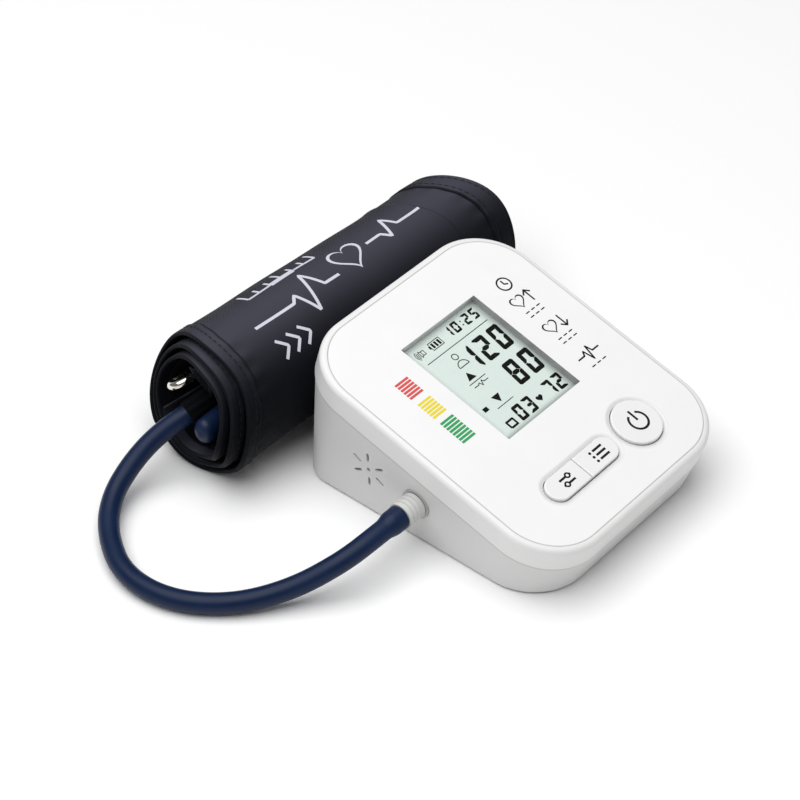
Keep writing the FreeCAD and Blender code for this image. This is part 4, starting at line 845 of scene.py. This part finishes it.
symbols += [patch([(-11.4, 13.6), (-7.0, 13.6), (-9.2, 17.3)]), patch(box(-8.2, 12.2, 9.4, RULE_LINE)),
            stroke(beat(-8.2, 10.2, 8.0, 2.2), 0.36)]
symbols += [patch([(-11.0, 3.2), (-6.6, 3.2), (-8.8, -0.5)]), patch(box(-8.2, -1.9, 9.4, RULE_LINE)),
            patch(box(-16.9, 0.8, 2.5, 1.9))]
symbols += [patch(heart(4.3, -9.1, 3.3)), stroke(border(-15.6, -11.3, -12.0, -8.3), 0.9)]
print_ink("display_signs", symbols, *GLASS_INK, on_glass, ink_liquid, "monitor", "lcd_glass")

# %% [markdown]
# The cuff is a long strip of cloth, wound three times round a hollow core. A wound strip is a surface with two
# parameters: the number of turns from the core, and the place x along the roll. Its radius grows by the same
# pitch each turn. The roll is a little thicker at the left, where the hose goes in, slack below at the front,
# and clear of the monitor's back. At the back of its left end the turns are pressed together.

# %% The winding
CORE, PITCH, TURNS = 14.8, 3.6, 3.05
AXIS_HEIGHT, FRONT_REACH, FRONT_LINE = 25.3, 25.89, 60.35
CLOTH = 3.3
START_ANGLE, TAPER, ROLL_MIDDLE = -20.0, 0.000555, 3.0
OFF_CENTRE, OFF_CENTRE_TURN, TIGHTER = 0.636, 0.875, 0.45
# Where the turns are pressed together and where they are slack: by how much, at which angle and how sharply.
PRESSED, SLACK = (1.5, 10.0, 3.0), (1.3, 230.0, 4.0)
LEFT_END, PRESSED_REACH, PRESSED_TO = -78.0, 18.0, TURNS + 0.8


def winding_angle(turns):
    """Degrees from the back (+y) towards the top (+z); the strip winds the other way round."""
    return START_ANGLE - 360.0 * turns


def bulge(degrees, height, middle, sharpness):
    """A bump round the roll: its height times e to the power of sharpness times (cosine of the way to it - 1)."""
    return height * np.exp(sharpness * (np.cos(np.radians(degrees - middle)) - 1.0))


def roll_scale(x):
    """The roll's size at x against that of the CAD roll: 4 percent more at the left, 4 less at the right."""
    return 1.0 - TAPER * (x - ROLL_MIDDLE)


def way_along(turns):
    """Millimetres of strip wound up after so many turns: the circumference at the core, growing by the pitch."""
    return 2 * np.pi * (CORE * turns + 0.5 * PITCH * turns ** 2)


def on_roll(turns, x, lift):
    """A point of the winding: pitch times turns beyond the core, a little off centre, plus the height above the
    lining's face. At the back of the left end each turn gives up some pitch; what would go below the table lies
    flat on it."""
    angle = winding_angle(turns)
    closer = bulge(angle, *PRESSED) * np.exp(-np.clip(x - LEFT_END, 0, None) / PRESSED_REACH)
    radius = CORE + PITCH * turns + OFF_CENTRE * np.cos(2 * np.pi * (turns - OFF_CENTRE_TURN)) - TIGHTER
    radius = radius + lift * (1 - closer / PITCH) + closer * (PRESSED_TO - turns)
    radius = radius - bulge(angle, *SLACK)
    scale = roll_scale(x)
    y = FRONT_LINE + scale * (FRONT_REACH + radius * np.cos(np.radians(angle)))
    z = np.maximum(scale * (AXIS_HEIGHT + radius * np.sin(np.radians(angle))), 0.0)
    return np.stack(np.broadcast_arrays(x, y, z), -1)


print("outer face over the top at x = 0:", on_roll(np.array(2.694), np.array(0.0), CLOTH).round(1))

# %% [markdown]
# The roll's two ends are not cut square. The edge wanders round the roll: some places of it, 10 to 50 degrees
# apart, are joined by a short Fourier series, which closes on itself by nature. The inner turns slid along
# while the cuff was rolled up, like a telescope.

# %% The roll's edges
# The turn below which the strip slid, over how many turns that sets in, and the same for the innermost ones.
SLID_BELOW, SLID_OVER, CORE_BELOW, CORE_SHARE = 2.6, 1.1, 1.4, 0.45
# How far it slid: everywhere, more at the front and less opposite, and in a stretch behind.
SLIDE, FRONT_SLIDE, FRONT_ANGLE, BACK_SLIDE = 2.6, 2.2, 160.0, (3.5, 25.0, 4.0)


def edge_line(places):
    """Least-squares sum of a constant and four sine-cosine pairs through (angle, x) places."""
    angle, x = np.array(places, float).T

    def terms(degrees):
        a = np.radians(degrees)[..., None] * np.arange(1, 5)
        return np.concatenate([np.ones(np.shape(degrees) + (1,)), np.cos(a), np.sin(a)], -1)

    weights = np.linalg.lstsq(terms(angle), x, rcond=None)[0]
    return lambda degrees: terms(degrees) @ weights


left_edge = edge_line([(0, -69), (15, -65.5), (30, -63.4), (45, -64), (54, -65), (70, -66.5), (90, -68),
                       (106, -69), (128, -70.5), (144, -71.8), (163, -74.2), (183, -77), (205, -77.4),
                       (230, -75), (250, -74.4), (275, -76.2), (290, -77), (305, -76.2), (322, -74.4),
                       (340, -72.8), (350, -71.8)])
right_edge = edge_line([(0, 70), (40, 72.5), (50, 72.5), (60, 73.2), (70, 76.0), (80, 76.9), (90, 77.9),
                        (100, 79.5), (110, 81.6), (120, 82.8), (130, 82.6), (140, 82.0), (160, 81.2),
                        (180, 81.2), (220, 80.2), (270, 78.5), (320, 73.5)])


def strip_edges(turns):
    """x of the strip's two edges; the inner turns slid to the left, most at the front and in a stretch behind."""
    angle = winding_angle(turns)
    inner = smooth(np.clip((SLID_BELOW - turns) / SLID_OVER, 0, 1))
    inner = inner + CORE_SHARE * np.clip(CORE_BELOW - turns, 0, 1)
    slid = inner * (SLIDE + FRONT_SLIDE * np.cos(np.radians(angle - FRONT_ANGLE)) + bulge(angle, *BACK_SLIDE))
    return left_edge(angle) - slid, right_edge(angle) - slid


ends = strip_edges(np.linspace(2, 3, 5))
print("left edge", ends[0].round(1), "right edge", ends[1].round(1))

# %% [markdown]
# Woven nylon: two sets of threads pass over and under each other, so the surface is a fine checker of short
# ridges, and the thread's loose fibres give a soft sheen at grazing angles. The real threads are 0.3 mm
# apart, too fine for the picture, so they are drawn 0.8 mm apart. The overhead light is also painted into the
# cloth: its tone grows lighter with the upward part of the normal.

# %% Cloth materials
CLOTH_CLOUD, LINT_SIZE, TOP_LIGHT_POWER = 11.0, 0.9, 6.0


def woven(name, colour, shade, lit_top, rough, thread_mm, depth_mm, sheen, specular):
    """Ridges |sin| across each thread; a checker picks which set lies on top; noise for tone; up^6 paints light
    on.
    """
    material, tree, surface = new_material(name)
    place = add(tree, "ShaderNodeUVMap", uv_map="cloth_mm")
    axes = add(tree, "ShaderNodeSeparateXYZ", {"Vector": place}, out="all")
    ridges = []
    for axis in ("X", "Y"):
        phase = add(tree, "ShaderNodeMath", {0: axes[axis], 1: np.pi / thread_mm}, operation="MULTIPLY")
        wave = add(tree, "ShaderNodeMath", {0: phase}, operation="SINE")
        ridges.append(add(tree, "ShaderNodeMath", {0: wave}, operation="ABSOLUTE"))
    over = add(tree, "ShaderNodeTexChecker", {"Vector": place, "Scale": 1.0 / thread_mm}, out="Fac")
    weave = add(tree, "ShaderNodeMix", {0: over, 2: ridges[0], 3: ridges[1]})
    clouds = add(tree, "ShaderNodeTexNoise", {"Vector": place, "Scale": 1 / CLOTH_CLOUD, "Detail": 4.0})
    lint = add(tree, "ShaderNodeTexNoise", {"Vector": place, "Scale": 1 / LINT_SIZE, "Detail": 2.0})
    mixed = add(tree, "ShaderNodeMath", {0: clouds, 1: lint}, operation="MULTIPLY")
    deep = add(tree, "ShaderNodeMath", {0: mixed, 1: weave}, operation="ADD")
    tone = add(tree, "ShaderNodeMix", {0: deep, 6: linear(shade), 7: linear(colour)}, **COLOURS)
    # Painted light: the more the cloth faces up, the more its tone turns to the given lighter colour, as if lit
    # from above.
    normal = add(tree, "ShaderNodeNewGeometry", out="Normal")
    facing = add(tree, "ShaderNodeSeparateXYZ", {"Vector": normal}, out="Z")
    upward = add(tree, "ShaderNodeMath", {0: facing, 1: 0.0}, operation="MAXIMUM")
    painted_light = add(tree, "ShaderNodeMath", {0: upward, 1: TOP_LIGHT_POWER}, operation="POWER")
    lit_tone = add(tree, "ShaderNodeMix", {0: painted_light, 6: tone, 7: linear(lit_top)}, **COLOURS)
    gloss = add(tree, "ShaderNodeMapRange", {"Value": clouds, "To Min": rough - 0.08, "To Max": rough + 0.08})
    bump = add(tree, "ShaderNodeBump", {"Height": weave, "Distance": depth_mm * MM, "Strength": 0.8})
    connect(tree, surface, {"Base Color": lit_tone, "Roughness": gloss, "Normal": bump, "Specular IOR Level": specular,
                            "Sheen Weight": sheen, "Sheen Roughness": 0.4, "Sheen Tint": linear("#A9ABBC")})
    return material


# The cover is a plain weave, the lining is brushed, and the hook tape is a coarse, deep pile.
# The third colour of each is the painted light on cloth that faces up.
nylon = woven("nylon_cloth_black", "#111218", "#090A0E", "#44444F", 0.62, 0.8, 0.06, 0.02, 0.07)
lining = woven("brushed_nylon_lining", "#0C0D11", "#08090C", "#15161B", 0.85, 1.1, 0.12, 0.03, 0.05)
hooks = woven("nylon_hook_tape", "#141519", "#0B0C10", "#26272E", 0.7, 1.6, 0.5, 0.03, 0.1)
thread = moulded("polyester_thread_black", "#1B1C22", "#131419", 0.6, 0.08, 0.3, 0.01,
                 **{"Specular IOR Level": 0.2})
print("cloths", [m.name for m in (nylon, lining, hooks)])

# %% [markdown]
# The cover's section across the strip is one closed loop: along the outer face, round the right hem, back
# along the inner face and round the left hem. A hem is a folded tape, so near the edges the face stands over
# half a millimetre higher, drops into a groove where the tape ends, and dips along its seams. A faint crease
# runs round the roll 28 mm from the right end. The inner turns shrink a little at the left, which opens gaps
# between the edges there.

# %% Cuff cover
SEAMS = {"left": (4.4,), "right": (2.6, 8.8)}
TAPE = {"left": 7.0, "right": 11.0}
TAPE_RISE = {"left": 0.6, "right": 0.75}
TAPE_EDGE, GROOVE_AT, GROOVE_WIDTH, SEAM_WIDTH, SEAM_DEPTH = 0.22, 0.6, 0.2, 0.5, 0.3
WAVE, RIPPLE, CALM_HEM = 0.28, 0.16, 22.0
CREASE, FOLD, FOLD_LEFT, FOLD_RIGHT = 28.0, 0.6, 4.0, 0.7
SHRINK, SHRINK_TURNS, SHRINK_REACH = 0.9, 2.6, 16.0
PUCKER, PUCKER_STEP, PUCKER_WIDTH = 0.13, 7.0, 4.0
PUCKER_AT = {"left": 8.5, "right": 12.5}
INLAND, TURNED_IN, TURNED_EDGE = 60.0, 9.0, 1.5
STRIP_ROWS, END_ROUND = 451, 3.0


def round_over(share, least=0.0):
    """A rounded edge: the height of a quarter circle at a share of its width, and 1 beyond it."""
    return np.sqrt(np.clip(1 - (1 - np.clip(share, 0, 1)) ** 2, least, 1))


def bell(distance, middle, width):
    """A bell curve, 1 at its middle: e to the power of -((distance - middle) / width)^2."""
    return np.exp(-((distance - middle) / width) ** 2)


def hem_relief(distance, side):
    """Height of the tape over the plain cloth, with its groove and its seams, by distance from the edge."""
    rise = TAPE_RISE[side] / (1 + np.exp((distance - TAPE[side]) / TAPE_EDGE))
    groove = 0.5 * TAPE_RISE[side] * bell(distance, TAPE[side] + GROOVE_AT, GROOVE_WIDTH)
    return rise - groove - sum(SEAM_DEPTH * bell(distance, seam, SEAM_WIDTH) for seam in SEAMS[side])


def softness(turns, x):
    """Slow waves of the padding and the crease, both faded out at the hems, small puckers beside the seams, and
    the shrinking of the inner turns at the left."""
    left, right = strip_edges(turns)
    angle = np.radians(winding_angle(turns))
    inside = np.clip(np.minimum(x - left, right - x) / CALM_HEM, 0, 1)
    waves = WAVE * np.sin(x / 13.0 + 1.6 * angle) * np.sin(x / 37.0 + 0.8) + RIPPLE * np.sin(x / 7.0 - 2 * angle)
    from_fold = right - CREASE - x
    fold = FOLD * np.exp(-np.abs(from_fold) / np.where(from_fold > 0, FOLD_LEFT, FOLD_RIGHT))
    shrink = SHRINK * np.clip(1 - turns / SHRINK_TURNS, 0, 1) * np.exp(-np.clip(x - left, 0, None) / SHRINK_REACH)
    beside_seam = sum(bell(distance, PUCKER_AT[side], PUCKER_WIDTH)
                      for side, distance in (("left", x - left), ("right", right - x)))
    way = way_along(turns)
    puckers = PUCKER * np.sin(way * 2 * np.pi / PUCKER_STEP + 1.5 * np.sin(way / 23.0)) * beside_seam
    return inside * (waves + fold) + puckers - shrink


def hems(turns, x):
    """The relief of both hems together."""
    left, right = strip_edges(turns)
    return hem_relief(x - left, "left") + hem_relief(right - x, "right")


def outer_face(turns, x, above):
    """A point on or above the cover's outer face, hems included."""
    return on_roll(turns, x, CLOTH + hems(turns, x) + softness(turns, x) + above)


def strip_section(turns, outer, inner, inset, hem):
    """x and lift round the strip's closed section: outer face, rounded edge, inner face, rounded edge."""
    left, right = (edge[:, None] for edge in strip_edges(turns))
    left, right = left + inset, right - inset
    bend = np.radians(np.linspace(80, -80, 9))
    near = {side: np.sort(np.concatenate([np.linspace(1.0, 14.0, 20), TAPE[side] + np.linspace(-0.5, 1.0, 12),
                                          np.linspace(16.0, INLAND, 14)])) for side in TAPE}
    near["right"] = np.sort(np.concatenate([near["right"], CREASE + np.linspace(-2.0, 4.0, 11)]))
    middle = left + INLAND + (right - left - 2 * INLAND) * np.linspace(0.1, 0.9, 9)
    out_x = np.concatenate([left + near["left"], middle, right - near["right"][::-1]], 1)
    in_x = out_x[:, ::-2]
    fold = np.clip(1 - (np.minimum(in_x - left, right - in_x) - TURNED_IN) / TURNED_EDGE, 0, 1) * hem
    x = np.concatenate([out_x, right - 1.0 + np.cos(bend), in_x, left + 1.0 - np.cos(bend[::-1])], 1)
    low = inner - fold
    half = 0.5 * (outer - low[:, :1]), 0.5 * (outer - low[:, -1:])
    lift = np.concatenate([np.full_like(out_x, outer), low[:, :1] + half[0] * (1 + np.sin(bend)), low,
                           low[:, -1:] + half[1] * (1 + np.sin(bend[::-1]))], 1)
    return x, lift


def wound_strip(name, outer, inner, inset, hem, material, relief):
    """The closed section carried along the winding; its thickness is drawn together at the strip's two ends."""
    turns = np.linspace(0.0, TURNS, STRIP_ROWS)
    x, lift = strip_section(turns, outer, inner, inset, hem)
    t = turns[:, None]
    length = way_along(t)
    close = round_over(np.minimum(length, length[-1] - length) / END_ROUND, 0.003)
    middle = 0.5 * (outer + inner)
    is_outer = np.clip((lift - middle) / (outer - middle), 0, 1)
    height = hems(t, x) if relief else 0.0
    lift = middle + (lift - middle) * close + is_outer * height * close + softness(t, x)
    points = on_roll(t, x, lift)
    texture = np.stack([x, np.broadcast_to(length, x.shape)], -1)
    return put_mesh(name, points, swept(points), material, "cuff_set", texture)


cover = wound_strip("cuff_cloth", CLOTH, 0.9, 0.0, -1.0, nylon, True)
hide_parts("cuff_cover", "cuff_bladder")
inside = wound_strip("cuff_inner_cloth", 0.84, 0.0, 4.0, 0.0, lining, False)
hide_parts("cuff_lining")

# %% [markdown]
# Seams: a lockstitch shows as short threads in a row, each 2.2 mm long with a small gap, lying in the groove
# that the thread pulls into the cloth. All the stitches of a row are one array: a small barrel at each place
# along the seam.

# %% Stitches
STITCH, STITCH_STEP, THREAD_RADIUS = 2.2, 2.9, 0.24
FIRST_STITCH, LAST_STITCH = {"left": 1.2, "right": 2.1}, 3.04
SIDES = 6


def stitch_row(side, seam):
    """Barrels along a seam: a sine-shaped radius along the stitch and six points round it."""
    dense = np.linspace(FIRST_STITCH[side], LAST_STITCH, 2400)
    left, right = strip_edges(dense)
    x = left + seam if side == "left" else right - seam
    seam_line = outer_face(dense, x, 0.12)
    scale = roll_scale(x)
    roll_axis = np.stack([x, FRONT_LINE + scale * FRONT_REACH, scale * AXIS_HEIGHT], -1)
    run = run_along(seam_line)
    along = np.arange(0.0, run[-1] - 3.0, STITCH_STEP)[:, None] + np.linspace(0.0, STITCH, SIDES)
    places = points_at(seam_line, run, along)
    out = places - points_at(roll_axis, run, along)
    out /= np.linalg.norm(out, axis=-1, keepdims=True)
    turn = np.linspace(0, 2 * np.pi, SIDES, endpoint=False)[:, None]
    radius = THREAD_RADIUS * np.sin(np.linspace(0.25, np.pi - 0.25, SIDES))[None, :, None, None]
    return places[..., None, :] + radius * (np.cos(turn) * (1.0, 0.0, 0.0) + np.sin(turn) * out[..., None, :])


barrels = np.concatenate([stitch_row(side, seam) for side, seams in SEAMS.items() for seam in seams])
first = np.arange(len(barrels))[:, None, None] * SIDES ** 2
walls = np.array(grid_faces(SIDES, SIDES)) + first
caps = np.stack([np.arange(SIDES)[::-1], np.arange(SIDES) + SIDES * (SIDES - 1)]) + first
put_mesh("cuff_stitches", barrels, walls.reshape(-1, 4).tolist() + caps.reshape(-1, SIDES).tolist(), thread,
         "cuff_set")
print("stitches", len(barrels))

# %% [markdown]
# On the outer end of the strip, at the back of the roll, sits a patch of hook tape that holds the roll closed.
# It is a thin padded rectangle that follows the winding, with its edges drawn down.

# %% Hook patch
OUTER_TURN = 170.0
HOOK_TURNS, HOOK_HALF, HOOK_FOOT, HOOK_HEIGHT, HOOK_RIM = (2.92, 3.03), 45.0, 0.05, 0.9, 1.6


def pad_on_roll(first, last, half):
    """Upper and lower face of a rectangle on the roll; its height falls to zero as a quarter circle at the rim."""
    s, x = np.meshgrid(np.linspace(first, last, 40), np.linspace(-half, half, 60), indexing="ij")
    rim = np.minimum(np.minimum(s - first, last - s) * OUTER_TURN, half - np.abs(x))
    top = outer_face(s, x, HOOK_FOOT + HOOK_HEIGHT * round_over(rim / HOOK_RIM, 0.01))
    texture = np.stack([x, s * OUTER_TURN], -1)
    under = outer_face(s, x, HOOK_FOOT)
    return np.concatenate([top, under[:, ::-1]], 1), np.concatenate([texture, texture[:, ::-1]], 1)


pad, texture = pad_on_roll(*HOOK_TURNS, HOOK_HALF)
hook_tape = put_mesh("hook_tape", pad, swept(pad), hooks, "cuff_set", texture)
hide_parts("hook_patch")

# %% [markdown]
# The print on the cuff is white rubbery ink, screened onto the cloth. It shows a plain beat line with a heart,
# a scale with a range bar and three chevrons for the winding direction.

# %% Print on the cuff
ink_white = moulded("screen_print_ink_white", "#DADBE6", "#CFD0DC", 0.6, 0.06, 0.6, 0.01)
PRINT_ANGLE, PRINT_RADIUS, CUFF_INK = 88.0, 27.2, (-0.02, 0.1)


def on_cuff(points):
    """(x, q, h) to the roll: q is the way along the outermost turn, from over the top down the front."""
    x, q, h = np.moveaxis(np.asarray(points, float), -1, 0)
    angle = PRINT_ANGLE + np.degrees(q / PRINT_RADIUS)
    return outer_face((3 * 360 + START_ANGLE - angle) / 360.0, x, h)


def spaced(path, step=0.8):
    """The same path with a point every step, so that it follows the round cloth."""
    path = np.asarray(path, float)
    run = run_along(path)
    return points_at(path, run, np.linspace(0, run[-1], max(3, int(run[-1] / step))))


LINE, THIN_LINE, SCALE_LEVEL = 1.25, 1.0, -8.5
wave = [(-48, 6), (-27, 6), (-24, 3), (-20, 14), (-14, -4), (-10, 6), (-2, 6)]
emblem = [stroke(spaced(wave), LINE), band(heart(8.5, -2.0, 16.0) * (1, -1), LINE)]
emblem += [stroke(spaced([(19, 1), (27, 1), (30, 5), (34, -6), (37, 1), (50, 1)]), LINE)]
emblem += [stroke(spaced([(-36, SCALE_LEVEL), (0, SCALE_LEVEL)]), THIN_LINE),
           stroke(spaced([(-24, SCALE_LEVEL), (-12, SCALE_LEVEL)]), 2.4)]
emblem += [stroke(spaced([(p, SCALE_LEVEL), (p, -12.5 if k % 3 else -15)]), THIN_LINE)
           for k, p in enumerate(range(-36, 1, 6))]
emblem += [stroke(spaced([(p, 14), (p + 4, 18), (p, 22)]), LINE) for p in (-46, -40, -34)]
print_ink("cuff_print", emblem, *CUFF_INK, on_cuff, ink_white, "cuff_set", "cuff_cloth")

# %% [markdown]
# Inside the hollow, a loop of cloth holds the wire ring. It is a soft roll of the lining's cloth along x, with a
# rounded lip at each end, in the place of the CAD loop: its size and place are read from that node's box.

# %% Ring loop
LOOP_SIDES, LOOP_CLEAR, LOOP_LEAN = 32, 0.7, np.radians(-1.4)


def lathe_along_x(stations, radii, centre, sides, tall=1.0):
    """Circles of the given radii at the given x, round a line that has y and z in centre; tall stretches z."""
    x, turn = np.meshgrid(stations, np.linspace(0, 2 * np.pi, sides, endpoint=False), indexing="ij")
    reach = np.asarray(radii)[:, None]
    y, z = np.broadcast_to(centre, (len(stations), 2)).T[..., None]
    return np.stack([x, y + reach * np.cos(turn), z + tall * reach * np.sin(turn)], -1)


ring_low, ring_high = (np.array(corner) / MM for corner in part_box("ring_loop"))
loop_axis = 0.5 * (ring_low + ring_high)
loop_reach = 0.5 * min(ring_high[1:] - ring_low[1:])
stations = np.linspace(ring_low[0], ring_high[0], 120)
lip = round_over(stations - stations[0], 0.02)
waves = 0.06 * np.sin(stations * 1.7)
loop = lathe_along_x(stations, (loop_reach - LOOP_CLEAR) * lip * lip[::-1] + waves, loop_axis[1:], LOOP_SIDES)
loop[..., 1] += np.tan(LOOP_LEAN) * (stations - loop_axis[0])[:, None]
texture = np.stack([loop[..., 0], np.broadcast_to(np.linspace(0, 15, LOOP_SIDES), loop.shape[:2])], -1)
loop_cloth = put_mesh("ring_loop_cloth", loop, swept(loop), lining, "cuff_set", texture)
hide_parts("ring_loop")

# %% [markdown]
# The strip's inner end is gathered round the ring: a curtain with folds that run from the wall to the middle.
# It is a fan of points by angle and reach, and sines of the angle move them along x.

# %% Gathered cloth
GATHER_AT, GATHER_REACH, GATHER_THICK = (-70.0, 87.3, 26.3), 17.6, 1.1
angle, share = np.meshgrid(np.radians(np.linspace(62.0, 150.0, 110)), np.linspace(0, 1, 30), indexing="ij")
hem_reach = 6.5 + 1.5 * np.sin(3 * angle)
reach = hem_reach + share * (GATHER_REACH - hem_reach)
folds = 1.5 * np.sin(7 * angle + 2.5 * share) * (1 - 0.5 * share) + 0.7 * np.sin(13 * angle + 1.0)
folds += 3.0 * (1 - share)
face = np.stack([folds, reach * np.cos(angle), reach * np.sin(angle)], -1) + GATHER_AT
curtain = np.concatenate([face, (face + (GATHER_THICK, 0.0, 0.0))[:, ::-1]], 1)
texture = np.stack([np.concatenate([reach, reach[:, ::-1]], 1), np.concatenate([angle, angle], 1) * 15.0], -1)
gathered = put_mesh("gathered_cloth", curtain, swept(curtain), nylon, "cuff_set", texture)

# %% [markdown]
# The hose goes in through a pleated sleeve of the same cloth: a tube along the last stretch of the hose's line,
# with nine pleats round it, closed by a bore that just clears the hose.

# %% Hose sleeve
SLEEVE_RUN, SLEEVE_ROWS, SLEEVE_SIDES, SLEEVE_CLOTH = (-27.5, -12.0), 60, 60, 0.4
PLEATS, PLEAT_HEIGHT, MOUTH_SHARE = 9, 0.22, 0.06
path = stretch(*SLEEVE_RUN, SLEEVE_ROWS)
along = np.linspace(0, 1, SLEEVE_ROWS)
mouth = along / MOUTH_SHARE
pleats = np.sin(PLEATS * np.linspace(0, 2 * np.pi, SLEEVE_SIDES, endpoint=False)) * np.clip(mouth, 0, 1)[:, None]
sleeve = tube_along(path, HOSE_RADIUS + 0.15 + SLEEVE_CLOTH * round_over(mouth), SLEEVE_SIDES)
sleeve += (sleeve - path[:, None]) * (PLEAT_HEIGHT * pleats / HOSE_RADIUS)[..., None]
bore = tube_along(path, np.full(SLEEVE_ROWS, HOSE_RADIUS + 0.02), SLEEVE_SIDES)
shell = np.concatenate([sleeve, bore[::-1]])
there_and_back = np.r_[along, along[::-1]][:, None]
texture = np.stack(np.broadcast_arrays(np.linspace(0, 28, SLEEVE_SIDES), there_and_back * 19), -1)
hose_sleeve = put_mesh("hose_sleeve", shell, swept(shell, closed=True), lining, "cuff_set",
                       texture)

# %% [markdown]
# The rubber port of the air bladder points out to the left beside the hose, as an upright oval tube with a
# rounded nose and a rounded tail.

# %% Bladder nozzle
NOZZLE_REACH, NOZZLE_SIDES, NOZZLE_TALL = 4.3, 36, 1.2
NOZZLE_OUT, NOZZLE_AT, NOZZLE_SLOPE = 2.5, np.array((83.0, 21.6)), np.array((0.6, 0.8))
NOSE_SHARE, TAIL_SHARE = 0.1, 0.07
port_low, port_high = (np.array(corner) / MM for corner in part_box("bladder_port"))
share = np.linspace(0, 1, 60)
ends = round_over(share / NOSE_SHARE) * round_over((1 - share) / TAIL_SHARE)
reach = (NOZZLE_REACH + 0.3 * np.sin(share * np.pi)) * np.clip(ends, 0.02, 1)
stations = port_low[0] - NOZZLE_OUT + share * (port_high[0] - port_low[0])
middle = NOZZLE_AT + NOZZLE_SLOPE * share[:, None]
port = lathe_along_x(stations, reach, middle, NOZZLE_SIDES, NOZZLE_TALL)
nozzle = put_mesh("bladder_nozzle", port, swept(port), natural_rubber, "cuff_set")
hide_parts("bladder_port")

# %% [markdown]
# The studio: a white floor and one wide soft light overhead, a little to the left. The upward faces come out
# white, and the walls get their light mostly from the floor, at about half the brightness.

# %% Floor and light
FLOOR_SIZE, FLOOR_LEVEL = 8.0, -0.0002
# White wall paint, with a trace of the roller's texture.
floor_paint, tree, surface = new_material("floor_paint_white")
place = add(tree, "ShaderNodeTexCoord", out="Object")
roller = add(tree, "ShaderNodeTexNoise", {"Vector": place, "Scale": per_metre(2.0)})
bump = add(tree, "ShaderNodeBump", {"Height": roller, "Distance": 0.01 * MM})
connect(tree, surface, {"Base Color": linear("#FFFFFF"), "Roughness": 0.9, "Specular IOR Level": 0.0,
                        "Normal": bump})
floor_mesh = bpy.data.meshes.new("floor")
corners = np.c_[box(0.0, 0.0, FLOOR_SIZE, FLOOR_SIZE), np.full(4, FLOOR_LEVEL)]
floor_mesh.from_pydata(corners.tolist(), [], [(0, 1, 2, 3)])
floor_mesh.materials.append(floor_paint)
floor = bpy.data.objects.new("floor", floor_mesh)
scene.collection.objects.link(floor)

scene.world = bpy.data.worlds.new("studio")
scene.world.use_nodes = True
sky = scene.world.node_tree
connect(sky, sky.nodes["Background"], {"Color": linear("#FFFFFF"), "Strength": 0.18})

lamp = bpy.data.lights.new("overhead", "AREA")
lamp.shape = "SQUARE"
lamp.size = 1.8
lamp.energy = 29.0
light = bpy.data.objects.new("overhead", lamp)
look_at(light, Vector((-0.25, 0.15, 1.5)), Vector((0.0, 0.0, 0.0)))
scene.collection.objects.link(light)
